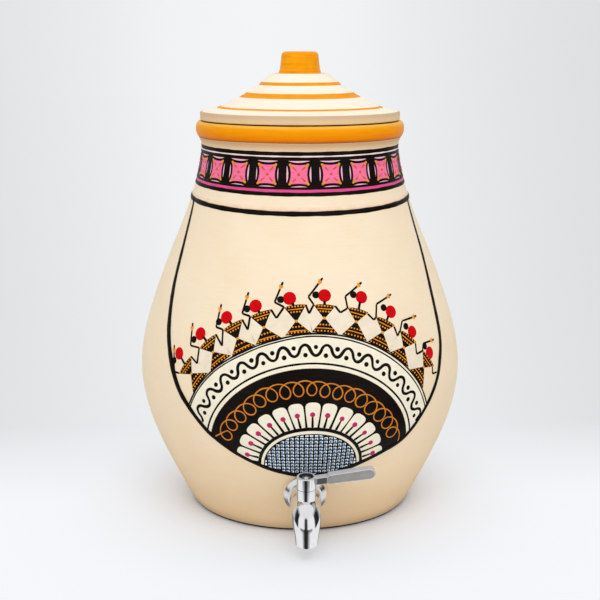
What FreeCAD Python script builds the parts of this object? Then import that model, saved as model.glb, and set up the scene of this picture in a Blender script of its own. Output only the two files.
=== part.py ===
import FreeCAD, Part
import math
import os

from FreeCAD import Placement, Rotation, Vector

# A wheel-thrown clay water pot with a loose lid and a quarter-turn tap near its foot.
# Millimetres. +Z is up, and the origin is the middle of the flat base, on the pot's axis.
# The tap points along -Y, and its lever points along +X when the tap is shut.

# ---------------------------------------------------------------- pot: outline of the outer wall
FOOT_RADIUS = 101.8
FOOT_ROUND = 3.0
FLANK_RADIUS = 127.2
FLANK_HEIGHT = 50.0
BELLY_RADIUS = 148.7
BELLY_HEIGHT = 128.0
WAIST_RADIUS = 137.0
WAIST_HEIGHT = 190.0
SHOULDER_RADIUS = 118.1
SHOULDER_HEIGHT = 240.0
COLLAR_RADIUS = 99.3
COLLAR_HEIGHT = 288.0
NECK_RADIUS = 89.1
NECK_BELOW_RIM = 19.0
WALL = 10.0
FLOOR = 12.0
FLOOR_ROUND = 12.0

# The rolled rim round the mouth. The neck is narrowest a little below it.
RIM_HEIGHT = 355.0
ROLL_HEIGHT = 13.4
ROLL_PROUD = 5.6
ROLL_EDGE_PROUD = 3.6
ROLL_ROUND = 1.4
LIP_ROUND = 2.5

# ---------------------------------------------------------------- lid, from where it rests on the rim
LID_INSET = 4.1
LID_EDGE = 8.4
LID_EDGE_ROUND = 1.3
BRIM_RISE = 3.6
LOW_TIER_RUN = 18.4
LOW_TIER_RISE = 8.6
LOW_BAND_RUN = 7.0
LOW_BAND_RISE = 3.7
MIDDLE_TIER_RUN = 9.4
MIDDLE_TIER_RISE = 5.9
HIGH_BAND_RUN = 3.7
HIGH_BAND_RISE = 3.0
TOP_TIER_RUN = 9.9
TOP_TIER_RISE = 8.8
TIER_STEP = 0.6
CONE_LEDGE = 7.0
KNOB_FOOT_RADIUS = 18.9
KNOB_FOOT_HEIGHT = 2.6
KNOB_FOOT_PROUD = 0.6
KNOB_TAPER = 1.9
KNOB_HEIGHT = 19.2
KNOB_ROUND = 4.0
LID_WALL = 9.5
SPIGOT_CLEARANCE = 2.5
SPIGOT_DEPTH = 12.0
SPIGOT_WALL = 7.0

# ---------------------------------------------------------------- tap seat on the wall
TAP_HEIGHT = 44.0
TAP_TILT = 13.0
SEAT_PROUD = 2.0
SEAT_RADIUS = 17.6
SEAT_DRAFT = 15.0
RECESS_CLEARANCE = 0.7
RECESS_SLOPE = 50.0
INNER_SEAT_RADIUS = 18.0
SEAT_THICKENING = 3.5
HOLE_CLEARANCE = 0.6
BEYOND_WALL = 60.0

# ---------------------------------------------------------------- tap: shank and what clamps it
SHANK_RADIUS = 10.4
SHANK_BORE_RADIUS = 6.5
SHANK_BEYOND_NUT = 5.0
RING_CLEARANCE = 0.3
THREAD_CLEARANCE = 0.1
OUTER_GASKET_THICKNESS = 3.6
INNER_GASKET_RADIUS = 15.5
INNER_GASKET_THICKNESS = 3.0
WASHER_RADIUS = 15.8
WASHER_THICKNESS = 1.2
NUT_ACROSS_FLATS = 27.0
NUT_THICKNESS = 8.0
ESCUTCHEON_RADIUS = 18.4
ESCUTCHEON_THICKNESS = 1.2
ESCUTCHEON_RIM_GAP = 0.5
ESCUTCHEON_LEDGE = 1.2

# ---------------------------------------------------------------- tap: valve housing
# Heights here are along the barrel, from where its axis meets the tap's own axis.
BARREL_REACH = 24.0
BARREL_LEAN = 8.0
BARREL_RADIUS = 8.1
BARREL_TOP = 20.7
VALVE_BORE_RADIUS = 4.7
VALVE_BORE_DEPTH = 7.6
GLAND_BORE_RADIUS = 6.0
GLAND_BORE_HEIGHT = 13.0
PORT_RADIUS = 3.2
STOP_GAP = 0.2
STOP_WALL = 1.1
STOP_HEIGHT = 1.6
STOP_START = 90.0
STOP_ANGLE = 24.0
STOP_SLACK_ANGLE = 2.0
QUARTER_TURN = 90.0

# ---------------------------------------------------------------- tap: spout, a fat bend that narrows
# Reaches and heights are from the same point as the barrel's heights. A pitch is how far the
# spout's path points below the horizontal of the barrel.
BODY_RADIUS = 13.8
BACK_REACH = -8.0
BACK_HEIGHT = 0.8
BACK_RADIUS = 13.1
BACK_PITCH = 5.0
CROWN_REACH = 3.0
CROWN_HEIGHT = 0.2
CROWN_RADIUS = 12.6
CROWN_PITCH = 12.0
BEND_REACH = 10.0
BEND_HEIGHT = -4.0
BEND_RADIUS = 12.2
BEND_PITCH = 48.0
NOZZLE_REACH = 13.4
NOZZLE_HEIGHT = -10.5
NOZZLE_RADIUS = 11.0
NOZZLE_PITCH = 78.0
TIP_REACH = 14.0
TIP_HEIGHT = -17.5
TIP_RADIUS = 9.9
TIP_PITCH = 89.0
OUTLET_REACH = 14.0
OUTLET_HEIGHT = -24.4
OUTLET_RADIUS = 9.3
OUTLET_BORE_RADIUS = 7.0
OUTLET_BORE_DEPTH = 8.0
OUTLET_LIP_ROUND = 1.6
SPOUT_WALL = 3.2
BEND_BORE_RADIUS = 7.1
CHAMBER_WALL = 1.6

# ---------------------------------------------------------------- tap: turning parts
CAP_SEAM = 0.4
CAP_HEIGHT = 10.5
CAP_ROUND = 0.7
CAP_DISH_WALL = 2.0
CAP_DISH_DEPTH = 1.9
CAP_WEB = 4.5
PLUG_CLEARANCE = 0.08
PLUG_END_GAP = 0.4
COLLAR_PLAY = 0.1
COLLAR_THICKNESS = 1.5
COLLAR_CLEARANCE = 0.25
STEM_RADIUS = 3.6
STEM_CLEARANCE = 0.2
STEM_SQUARE = 4.9
SQUARE_CLEARANCE = 0.1
SEAL_SECTION = 1.15
SEAL_FIT = 0.02
SEAL_INSET = 1.7
THRUST_WASHER_THICKNESS = 0.6
GLAND_NUT_THICKNESS = 4.6
GLAND_SLOT_WIDTH = 1.4
GLAND_SLOT_DEPTH = 1.2
SCREW_RADIUS = 1.45
SCREW_CLEARANCE = 0.1
SCREW_REACH = 12.0
SCREW_HEAD_RADIUS = 2.9
SCREW_HEAD_HEIGHT = 1.7
SCREW_SLOT_WIDTH = 0.8
SCREW_SLOT_DEPTH = 0.8
LOCK_WASHER_RADIUS = 3.7
LOCK_WASHER_THICKNESS = 0.5

# ---------------------------------------------------------------- lever
LEVER_REACH = 58.2
LEVER_RISE_ANGLE = 8.0
LEVER_ROOT_HEIGHT = 5.8
LEVER_NECK_HEIGHT = 6.2
LEVER_NECK_THICKNESS = 7.2
BLADE_START = 17.6
BLADE_START_HEIGHT = 8.6
BLADE_TIP_HEIGHT = 9.8
BLADE_THICKNESS = 7.8
BLADE_ROUND = 3.0
LEVER_EDGE_ROUND = 0.9
PANEL_BORDER = 1.3
PANEL_DEPTH = 0.5


# ---------------------------------------------------------------- drawing helpers

SAME_PLACE = 0.001
HALVINGS = 60
HEXAGON = 6


def line(start, end):
    return Part.LineSegment(start, end).toShape()


def arc(start, middle, end):
    return Part.Arc(start, middle, end).toShape()


def lines(points):
    """Straight edges through the points, left open."""
    return [line(a, b) for a, b in zip(points, points[1:])]


def half_plane(radius, height):
    """A point of a profile that is turned about the Z axis."""
    return Vector(radius, 0, height)


def turned(edges, axis=Vector(0, 0, 1)):
    """The solid that a closed profile sweeps in one full turn."""
    face = Part.Face(Part.Wire(Part.__sortEdges__(edges)))
    solid = face.revolve(Vector(0, 0, 0), axis, 360)
    return Part.makeSolid(solid.Shells[0])


def ring_edges(shape, radius, height):
    """The circles of that radius about the Z axis, at that height."""
    found = []
    for edge in shape.Edges:
        box = edge.BoundBox
        if not isinstance(edge.Curve, Part.Circle):
            continue
        if abs(edge.Curve.Radius - radius) < SAME_PLACE and abs(box.ZMin - height) < SAME_PLACE:
            found.append(edge)
    return found


def rounded(shape, size, rings):
    """Rounds the rings, each given as its radius and height."""
    edges = []
    for radius, height in rings:
        edges += ring_edges(shape, radius, height)
    return shape.makeFillet(size, edges)


def bar(radius, low, high):
    """A round bar on the Z axis."""
    return Part.makeCylinder(radius, high - low, Vector(0, 0, low))


def ring(outer, inner, low, high):
    return bar(outer, low, high).cut(bar(inner, low, high))


def along_tap(radius, near, far):
    """A round bar on the tap's axis, from one distance outward to another."""
    return Part.makeCylinder(radius, far - near, Vector(0, -near, 0), Vector(0, -1, 0))


def ring_along_tap(outer, inner, near, far):
    return along_tap(outer, near, far).cut(along_tap(inner, near, far))


def cone_along_tap(near_radius, far_radius, near, far):
    return Part.makeCone(near_radius, far_radius, far - near, Vector(0, -near, 0), Vector(0, -1, 0))


# ---------------------------------------------------------------- the pot's outline

NECK_HEIGHT = RIM_HEIGHT - NECK_BELOW_RIM


def smooth_curve(points):
    curve = Part.BSplineCurve()
    curve.interpolate(points)
    return curve


OUTER_CURVE = smooth_curve(
    [
        half_plane(FOOT_RADIUS, 0),
        half_plane(FLANK_RADIUS, FLANK_HEIGHT),
        half_plane(BELLY_RADIUS, BELLY_HEIGHT),
        half_plane(WAIST_RADIUS, WAIST_HEIGHT),
        half_plane(SHOULDER_RADIUS, SHOULDER_HEIGHT),
        half_plane(COLLAR_RADIUS, COLLAR_HEIGHT),
        half_plane(NECK_RADIUS, NECK_HEIGHT),
    ]
)


def wall_point(height, depth=0.0):
    """The point of the outer wall at a height, or the one that lies depth under it, in the clay."""
    low, high = OUTER_CURVE.FirstParameter, OUTER_CURVE.LastParameter
    for _ in range(HALVINGS):
        middle = (low + high) / 2
        if OUTER_CURVE.value(middle).z < height:
            low = middle
        else:
            high = middle
    rising = OUTER_CURVE.tangent(low)[0]
    outward = Vector(rising.z, 0, -rising.x)
    return OUTER_CURVE.value(low) - outward * depth


MOUTH_RADIUS = wall_point(NECK_HEIGHT, WALL).x
ROLL_EDGE_RADIUS = NECK_RADIUS + ROLL_EDGE_PROUD


def pot_shell():
    """The turned pot with its hollow still solid."""
    roll_low = RIM_HEIGHT - ROLL_HEIGHT
    roll_middle = half_plane(NECK_RADIUS + ROLL_PROUD, RIM_HEIGHT - ROLL_HEIGHT / 2)
    outline = [
        line(half_plane(0, 0), half_plane(FOOT_RADIUS, 0)),
        OUTER_CURVE.toShape(),
        line(half_plane(NECK_RADIUS, NECK_HEIGHT), half_plane(ROLL_EDGE_RADIUS, roll_low)),
        arc(half_plane(ROLL_EDGE_RADIUS, roll_low), roll_middle, half_plane(ROLL_EDGE_RADIUS, RIM_HEIGHT)),
        line(half_plane(ROLL_EDGE_RADIUS, RIM_HEIGHT), half_plane(0, RIM_HEIGHT)),
        line(half_plane(0, RIM_HEIGHT), half_plane(0, 0)),
    ]
    shell = rounded(turned(outline), FOOT_ROUND, [(FOOT_RADIUS, 0)])
    return rounded(shell, ROLL_ROUND, [(ROLL_EDGE_RADIUS, roll_low), (ROLL_EDGE_RADIUS, RIM_HEIGHT)])


def pot_hollow():
    """The space inside the pot, up through its mouth."""
    floor_corner = wall_point(FLOOR, WALL)
    floor_radius = floor_corner.x
    heights = [FLANK_HEIGHT, BELLY_HEIGHT, WAIST_HEIGHT, SHOULDER_HEIGHT, COLLAR_HEIGHT, NECK_HEIGHT]
    start = half_plane(floor_radius, FLOOR)
    stations = [wall_point(height, WALL) for height in heights]
    top = half_plane(MOUTH_RADIUS, RIM_HEIGHT)
    outline = [
        line(half_plane(0, FLOOR), start),
        smooth_curve([start] + stations).toShape(),
        line(stations[-1], top),
        line(top, half_plane(0, RIM_HEIGHT)),
        line(half_plane(0, RIM_HEIGHT), half_plane(0, FLOOR)),
    ]
    return rounded(turned(outline), FLOOR_ROUND, [(floor_radius, FLOOR)])


# ---------------------------------------------------------------- where the tap stands
# In the tap's own frame its axis is the Y axis, with -Y outward, and the origin is the middle
# of the flat seat on the wall. The valve's frame has its Z axis up the barrel.


def tap_placement():
    wall = wall_point(TAP_HEIGHT)
    tilt = Rotation(Vector(1, 0, 0), TAP_TILT)
    outward = tilt.multVec(Vector(0, -1, 0))
    return Placement(Vector(0, -wall.x, TAP_HEIGHT) + outward * SEAT_PROUD, tilt)


def valve_placement():
    return Placement(Vector(0, -BARREL_REACH, 0), Rotation(Vector(1, 0, 0), -BARREL_LEAN))


def placed(shape, placement):
    copy = shape.copy()
    copy.Placement = placement.multiply(copy.Placement)
    return copy


def in_valve(shape):
    """Moves a shape from the valve's frame to the tap's."""
    return placed(shape, valve_placement())


def on_pot(shape):
    """Moves a shape from the tap's frame to the pot's."""
    return placed(shape, tap_placement())


CLAMP_THICKNESS = WALL + SEAT_THICKENING
ESCUTCHEON_TOP = OUTER_GASKET_THICKNESS + ESCUTCHEON_THICKNESS
ESCUTCHEON_TOP_RADIUS = BODY_RADIUS + ESCUTCHEON_LEDGE
INNER_GASKET_FACE = -CLAMP_THICKNESS - INNER_GASKET_THICKNESS
WASHER_FACE = INNER_GASKET_FACE - WASHER_THICKNESS
NUT_FACE = WASHER_FACE - NUT_THICKNESS
SHANK_END = NUT_FACE - SHANK_BEYOND_NUT


# ---------------------------------------------------------------- clay pieces


def pot_body():
    """The pot, with flats pressed in and out of its wall where the tap is clamped."""
    draft = CLAMP_THICKNESS * math.tan(math.radians(SEAT_DRAFT))
    spread = CLAMP_THICKNESS * math.tan(math.radians(RECESS_SLOPE))
    recess = ESCUTCHEON_RADIUS + RECESS_CLEARANCE
    pad = cone_along_tap(SEAT_RADIUS + draft, SEAT_RADIUS, -CLAMP_THICKNESS, 0)
    flat = cone_along_tap(recess, recess + spread, 0, CLAMP_THICKNESS)
    inner_pad = along_tap(INNER_SEAT_RADIUS, -CLAMP_THICKNESS, -SEAT_THICKENING)
    inner_flat = along_tap(INNER_SEAT_RADIUS, -BEYOND_WALL, -CLAMP_THICKNESS)
    hole = along_tap(SHANK_RADIUS + HOLE_CLEARANCE, -BEYOND_WALL, CLAMP_THICKNESS)
    clay = pot_shell().fuse(on_pot(pad))
    clay = clay.cut([on_pot(flat), pot_hollow()])
    clay = clay.fuse(on_pot(inner_pad))
    clay = clay.cut([on_pot(inner_flat), on_pot(hole)])
    return rounded(clay, LIP_ROUND, [(MOUTH_RADIUS, RIM_HEIGHT)])


def cone_steps():
    """The lid's cone from its foot up to the knob, as runs inward and rises."""
    return [
        (LOW_TIER_RUN - TIER_STEP, LOW_TIER_RISE),
        (TIER_STEP, 0),
        (LOW_BAND_RUN, LOW_BAND_RISE),
        (0, TIER_STEP),
        (MIDDLE_TIER_RUN - TIER_STEP, MIDDLE_TIER_RISE - TIER_STEP),
        (TIER_STEP, 0),
        (HIGH_BAND_RUN, HIGH_BAND_RISE),
        (0, TIER_STEP),
        (TOP_TIER_RUN, TOP_TIER_RISE - TIER_STEP),
        (CONE_LEDGE, 0),
    ]


def lid():
    """A stepped cone on a flat brim, hollow below, with a spigot that drops into the mouth."""

    def at(radius, rise):
        return half_plane(radius, RIM_HEIGHT + rise)

    steps = cone_steps()
    edge = NECK_RADIUS + ROLL_PROUD - LID_INSET
    radius = KNOB_FOOT_RADIUS + sum(run for run, rise in steps)
    height = LID_EDGE + BRIM_RISE
    cone = [at(radius, height)]
    for run, rise in steps:
        radius -= run
        height += rise
        cone.append(at(radius, height))
    waist = KNOB_FOOT_RADIUS - KNOB_FOOT_PROUD
    top_radius = waist - KNOB_TAPER
    top = height + KNOB_HEIGHT
    knob = [
        at(KNOB_FOOT_RADIUS, height + KNOB_FOOT_HEIGHT),
        at(waist, height + KNOB_FOOT_HEIGHT),
        at(top_radius, top),
        at(0, top),
    ]
    spigot = MOUTH_RADIUS - SPIGOT_CLEARANCE
    hollow = spigot - SPIGOT_WALL
    band_inner = cone[3]
    below = [
        at(0, height - LID_WALL),
        at(KNOB_FOOT_RADIUS + CONE_LEDGE, height - LID_WALL),
        half_plane(band_inner.x, band_inner.z - LID_WALL),
        at(hollow, LID_EDGE / 2),
        at(hollow, -SPIGOT_DEPTH),
        at(spigot, -SPIGOT_DEPTH),
        at(spigot, 0),
        at(edge, 0),
        at(edge, LID_EDGE),
    ]
    blank = turned(lines(below + cone + knob + below[:1]))
    rims = [(edge, RIM_HEIGHT), (edge, RIM_HEIGHT + LID_EDGE)]
    blank = rounded(blank, LID_EDGE_ROUND, rims)
    return rounded(blank, KNOB_ROUND, [(top_radius, RIM_HEIGHT + top)])


# ---------------------------------------------------------------- clamping rings


def outer_gasket():
    radius = ESCUTCHEON_TOP_RADIUS - ESCUTCHEON_THICKNESS - RING_CLEARANCE
    return ring_along_tap(radius, SHANK_RADIUS + RING_CLEARANCE, 0, OUTER_GASKET_THICKNESS)


def inner_gasket():
    bore = SHANK_RADIUS + RING_CLEARANCE
    return ring_along_tap(INNER_GASKET_RADIUS, bore, INNER_GASKET_FACE, -CLAMP_THICKNESS)


def inner_washer():
    bore = SHANK_RADIUS + RING_CLEARANCE
    return ring_along_tap(WASHER_RADIUS, bore, WASHER_FACE, INNER_GASKET_FACE)


def back_nut():
    """A hexagon nut with the corners of its free face turned off."""
    corner_radius = NUT_ACROSS_FLATS / math.sqrt(3)
    corners = []
    for step in range(HEXAGON + 1):
        angle = 2 * math.pi * step / HEXAGON
        corners.append(Vector(corner_radius * math.cos(angle), -NUT_FACE, corner_radius * math.sin(angle)))
    hexagon = Part.Face(Part.Wire(lines(corners)))
    prism = hexagon.extrude(Vector(0, -NUT_THICKNESS, 0))
    chamfer = corner_radius - NUT_ACROSS_FLATS / 2
    trim = cone_along_tap(NUT_ACROSS_FLATS / 2, corner_radius, NUT_FACE, NUT_FACE + chamfer)
    trim = trim.fuse(along_tap(corner_radius, NUT_FACE + chamfer, WASHER_FACE))
    bore = along_tap(SHANK_RADIUS + THREAD_CLEARANCE, NUT_FACE, WASHER_FACE)
    return prism.common(trim).cut(bore)


def escutcheon():
    """A dished cover ring that hides the outer gasket."""
    bore = SHANK_RADIUS + RING_CLEARANCE
    profile = [
        (bore, OUTER_GASKET_THICKNESS),
        (ESCUTCHEON_TOP_RADIUS - ESCUTCHEON_THICKNESS, OUTER_GASKET_THICKNESS),
        (ESCUTCHEON_RADIUS - ESCUTCHEON_THICKNESS, ESCUTCHEON_RIM_GAP),
        (ESCUTCHEON_RADIUS, ESCUTCHEON_RIM_GAP),
        (ESCUTCHEON_RADIUS, ESCUTCHEON_RIM_GAP + ESCUTCHEON_THICKNESS),
        (ESCUTCHEON_TOP_RADIUS, ESCUTCHEON_TOP),
        (bore, ESCUTCHEON_TOP),
    ]
    points = [Vector(radius, -reach, 0) for radius, reach in profile]
    return turned(lines(points + points[:1]), Vector(0, 1, 0))


# ---------------------------------------------------------------- tap body


def path_circle(reach, height, pitch, radius):
    """A circle square to a path that points outward and down by the pitch."""
    circle = Part.Wire(Part.Circle(Vector(0, 0, 0), Vector(0, 0, 1), radius).toShape())
    circle.Placement = Placement(Vector(0, -reach, height), Rotation(Vector(1, 0, 0), 90 + pitch))
    return circle


def shoulder_circle():
    """Where the body leaves the escutcheon, seen from the valve's frame."""
    circle = path_circle(ESCUTCHEON_TOP, 0, 0, BODY_RADIUS)
    return placed(circle, valve_placement().inverse())


def spout():
    """The body from its shoulder, over the bend and down to the outlet."""
    circles = [
        shoulder_circle(),
        path_circle(BACK_REACH, BACK_HEIGHT, BACK_PITCH, BACK_RADIUS),
        path_circle(CROWN_REACH, CROWN_HEIGHT, CROWN_PITCH, CROWN_RADIUS),
        path_circle(BEND_REACH, BEND_HEIGHT, BEND_PITCH, BEND_RADIUS),
        path_circle(NOZZLE_REACH, NOZZLE_HEIGHT, NOZZLE_PITCH, NOZZLE_RADIUS),
        path_circle(TIP_REACH, TIP_HEIGHT, TIP_PITCH, TIP_RADIUS),
        path_circle(OUTLET_REACH, OUTLET_HEIGHT, 90, OUTLET_RADIUS),
    ]
    horn = Part.makeLoft(circles, True)
    lip = [e for e in horn.Edges if e.BoundBox.ZMax < OUTLET_HEIGHT + OUTLET_LIP_ROUND / 2]
    return horn.makeFillet(OUTLET_LIP_ROUND, lip)


def spout_bore():
    """The waterway from the valve's chamber down and out of the mouth."""
    inlet_reach = VALVE_BORE_RADIUS + CHAMBER_WALL
    bore_top = OUTLET_HEIGHT + OUTLET_BORE_DEPTH
    inlet = Part.makeCylinder(PORT_RADIUS, inlet_reach, Vector(0, 0, 0), Vector(0, -1, 0))
    circles = [
        path_circle(inlet_reach, 0, 0, PORT_RADIUS),
        path_circle(BEND_REACH, BEND_HEIGHT, BEND_PITCH, BEND_BORE_RADIUS),
        path_circle(NOZZLE_REACH, NOZZLE_HEIGHT, NOZZLE_PITCH, NOZZLE_RADIUS - SPOUT_WALL),
        path_circle(OUTLET_REACH, bore_top, 90, OUTLET_BORE_RADIUS),
    ]
    mouth = Part.makeCylinder(
        OUTLET_BORE_RADIUS,
        2 * OUTLET_BORE_DEPTH,
        Vector(0, -OUTLET_REACH, bore_top),
        Vector(0, 0, -1),
    )
    return inlet.fuse([Part.makeLoft(circles, True), mouth])


STOP_INNER_RADIUS = GLAND_BORE_RADIUS + STOP_GAP
STOP_OUTER_RADIUS = BARREL_RADIUS - STOP_WALL


def ring_sector(outer, inner, low, high, start_angle, span):
    """A piece of a ring round the barrel, its angles counted from +X."""
    sector = Part.makeCylinder(outer, high - low, Vector(0, 0, 0), Vector(0, 0, 1), span)
    sector = sector.cut(Part.makeCylinder(inner, high - low))
    return placed(sector, Placement(Vector(0, 0, low), Rotation(Vector(0, 0, 1), start_angle)))


def tap_body():
    """Shank, valve housing and spout, cast in one."""
    shank = along_tap(SHANK_RADIUS, SHANK_END, ESCUTCHEON_TOP)
    stop_top = BARREL_TOP + STOP_HEIGHT
    stop = ring_sector(
        STOP_OUTER_RADIUS, STOP_INNER_RADIUS, BARREL_TOP, stop_top, STOP_START, STOP_ANGLE
    )
    head = spout().fuse([bar(BARREL_RADIUS, 0, BARREL_TOP), stop])
    chamber = bar(VALVE_BORE_RADIUS, -VALVE_BORE_DEPTH, GLAND_BORE_HEIGHT)
    gland = bar(GLAND_BORE_RADIUS, GLAND_BORE_HEIGHT, BARREL_TOP)
    inlet = along_tap(SHANK_BORE_RADIUS, SHANK_END, BARREL_REACH - VALVE_BORE_RADIUS - CHAMBER_WALL)
    throat = along_tap(PORT_RADIUS, ESCUTCHEON_TOP, BARREL_REACH)
    body = shank.fuse(in_valve(head))
    return body.cut([inlet, throat] + [in_valve(space) for space in (chamber, gland, spout_bore())])


# ---------------------------------------------------------------- valve

PLUG_RADIUS = VALVE_BORE_RADIUS - PLUG_CLEARANCE
PLUG_LOW = -VALVE_BORE_DEPTH + PLUG_END_GAP
COLLAR_LOW = GLAND_BORE_HEIGHT + COLLAR_PLAY
COLLAR_TOP = COLLAR_LOW + COLLAR_THICKNESS
THRUST_WASHER_LOW = COLLAR_TOP + COLLAR_PLAY
THRUST_WASHER_TOP = THRUST_WASHER_LOW + THRUST_WASHER_THICKNESS
CAP_LOW = BARREL_TOP + CAP_SEAM
CAP_TOP = CAP_LOW + CAP_HEIGHT
DISH_FLOOR = CAP_TOP - CAP_DISH_DEPTH
SOCKET_TOP = DISH_FLOOR - CAP_WEB
LOWER_SEAL_HEIGHT = PLUG_LOW + SEAL_INSET
UPPER_SEAL_HEIGHT = GLAND_BORE_HEIGHT - SEAL_INSET
SCREW_LOW = DISH_FLOOR - SCREW_REACH


def square_bar(width, low, high):
    return Part.makeBox(width, width, high - low, Vector(-width / 2, -width / 2, low))


def seal_groove(height):
    low, high = height - SEAL_SECTION / 2, height + SEAL_SECTION / 2
    return ring(VALVE_BORE_RADIUS, PLUG_RADIUS - SEAL_SECTION, low, high)


def valve_plug():
    """The turning plug: its cross port is square to the waterway when the tap is shut."""
    plug = bar(PLUG_RADIUS, PLUG_LOW, COLLAR_LOW)
    collar = bar(GLAND_BORE_RADIUS - COLLAR_CLEARANCE, COLLAR_LOW, COLLAR_TOP)
    stem = bar(STEM_RADIUS, COLLAR_TOP, CAP_LOW)
    square = square_bar(STEM_SQUARE, CAP_LOW, SOCKET_TOP - STEM_CLEARANCE)
    port = Part.makeCylinder(PORT_RADIUS, 2 * PLUG_RADIUS, Vector(-PLUG_RADIUS, 0, 0), Vector(1, 0, 0))
    screw_hole = bar(SCREW_RADIUS + SCREW_CLEARANCE, SCREW_LOW - STEM_CLEARANCE, SOCKET_TOP)
    grooves = [seal_groove(LOWER_SEAL_HEIGHT), seal_groove(UPPER_SEAL_HEIGHT)]
    return plug.fuse([collar, stem, square]).cut([port, screw_hole] + grooves)


def plug_seal(height):
    section = SEAL_SECTION / 2 - SEAL_FIT
    return Part.makeTorus(PLUG_RADIUS - SEAL_SECTION / 2, section, Vector(0, 0, height))


def thrust_washer():
    outer = GLAND_BORE_RADIUS - COLLAR_CLEARANCE
    return ring(outer, STEM_RADIUS + STEM_CLEARANCE, THRUST_WASHER_LOW, THRUST_WASHER_TOP)


def gland_nut():
    """A ring screwed into the housing over the plug's collar, slotted for a key."""
    top = THRUST_WASHER_TOP + GLAND_NUT_THICKNESS
    outer = GLAND_BORE_RADIUS - THREAD_CLEARANCE
    nut = ring(outer, STEM_RADIUS + STEM_CLEARANCE, THRUST_WASHER_TOP, top)
    slot = Part.makeBox(
        2 * outer,
        GLAND_SLOT_WIDTH,
        GLAND_SLOT_DEPTH,
        Vector(-outer, -GLAND_SLOT_WIDTH / 2, top - GLAND_SLOT_DEPTH),
    )
    return nut.cut(slot)


# ---------------------------------------------------------------- lever and its screw


def blade_outline(inset):
    """The blade from the front, its middle on the X axis: square-ended at the root, round at the tip."""
    start = BLADE_START + inset
    low = BLADE_START_HEIGHT / 2 - inset
    high = BLADE_TIP_HEIGHT / 2 - inset
    tip = LEVER_REACH - inset
    shoulder = tip - high
    upper = [Vector(start, 0, -low), Vector(start, 0, low), Vector(shoulder, 0, high)]
    nose = arc(upper[-1], Vector(tip, 0, 0), Vector(shoulder, 0, -high))
    return Part.Wire(lines(upper) + [nose, line(Vector(shoulder, 0, -high), upper[0])])


def root_corners(shape):
    """The two short edges at the blade's root that run through its thickness."""
    found = []
    for edge in shape.Edges:
        box = edge.BoundBox
        through = box.XLength < SAME_PLACE and box.ZLength < SAME_PLACE
        if through and box.XMax < (BLADE_START + LEVER_REACH) / 2:
            found.append(edge)
    return found


def lever_blade():
    """The finger blade, with a shallow bare panel in its front."""
    half = BLADE_THICKNESS / 2
    blade = Part.Face(blade_outline(0)).extrude(Vector(0, BLADE_THICKNESS, 0))
    blade.translate(Vector(0, -half, 0))
    blade = blade.makeFillet(BLADE_ROUND, root_corners(blade))
    rims = [edge for edge in blade.Edges if edge.BoundBox.YLength < SAME_PLACE]
    blade = blade.makeFillet(LEVER_EDGE_ROUND, rims)
    panel = Part.Face(blade_outline(PANEL_BORDER)).extrude(Vector(0, PANEL_DEPTH * 2, 0))
    panel.translate(Vector(0, -half - PANEL_DEPTH, 0))
    panel = panel.makeFillet(BLADE_ROUND - PANEL_BORDER, root_corners(panel))
    return blade.cut(panel)


def lever_arm():
    """Neck and blade, from the barrel's axis outward along +X."""
    length = BLADE_START + BLADE_ROUND
    corner = Vector(0, -LEVER_NECK_THICKNESS / 2, -LEVER_NECK_HEIGHT / 2)
    neck = Part.makeBox(length, LEVER_NECK_THICKNESS, LEVER_NECK_HEIGHT, corner)
    long_edges = [edge for edge in neck.Edges if edge.BoundBox.XLength > length / 2]
    arm = neck.makeFillet(LEVER_EDGE_ROUND, long_edges).fuse(lever_blade())
    rise = Rotation(Vector(0, 1, 0), -LEVER_RISE_ANGLE)
    return placed(arm, Placement(Vector(0, 0, CAP_LOW + LEVER_ROOT_HEIGHT), rise))


def lever():
    """The turning cap with its side lever, cast in one."""
    cap = rounded(bar(BARREL_RADIUS, CAP_LOW, CAP_TOP), CAP_ROUND, [(BARREL_RADIUS, CAP_TOP)])
    dish = bar(BARREL_RADIUS - CAP_DISH_WALL, DISH_FLOOR, CAP_TOP)
    screw_hole = bar(SCREW_RADIUS + SCREW_CLEARANCE, SOCKET_TOP, DISH_FLOOR)
    socket = square_bar(STEM_SQUARE + 2 * SQUARE_CLEARANCE, CAP_LOW, SOCKET_TOP)
    stop_track = ring_sector(
        STOP_OUTER_RADIUS + RING_CLEARANCE,
        STOP_INNER_RADIUS - RING_CLEARANCE,
        CAP_LOW,
        BARREL_TOP + STOP_HEIGHT + RING_CLEARANCE,
        STOP_START - STOP_SLACK_ANGLE,
        STOP_ANGLE + QUARTER_TURN + 2 * STOP_SLACK_ANGLE,
    )
    return cap.fuse(lever_arm()).cut([dish, screw_hole, socket, stop_track])


def lock_washer():
    top = DISH_FLOOR + LOCK_WASHER_THICKNESS
    return ring(LOCK_WASHER_RADIUS, SCREW_RADIUS + SCREW_CLEARANCE, DISH_FLOOR, top)


def lever_screw():
    """A slotted screw with a domed head, down through the cap into the plug."""
    seat = DISH_FLOOR + LOCK_WASHER_THICKNESS
    crown = seat + SCREW_HEAD_HEIGHT
    radius = (SCREW_HEAD_RADIUS**2 + SCREW_HEAD_HEIGHT**2) / (2 * SCREW_HEAD_HEIGHT)
    dome = Part.makeSphere(radius, Vector(0, 0, crown - radius)).common(bar(SCREW_HEAD_RADIUS, seat, crown))
    slot = Part.makeBox(
        2 * SCREW_HEAD_RADIUS,
        SCREW_SLOT_WIDTH,
        2 * SCREW_SLOT_DEPTH,
        Vector(-SCREW_HEAD_RADIUS, -SCREW_SLOT_WIDTH / 2, crown - SCREW_SLOT_DEPTH),
    )
    return bar(SCREW_RADIUS, SCREW_LOW, seat).fuse(dome).cut(slot)


# ---------------------------------------------------------------- export


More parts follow.
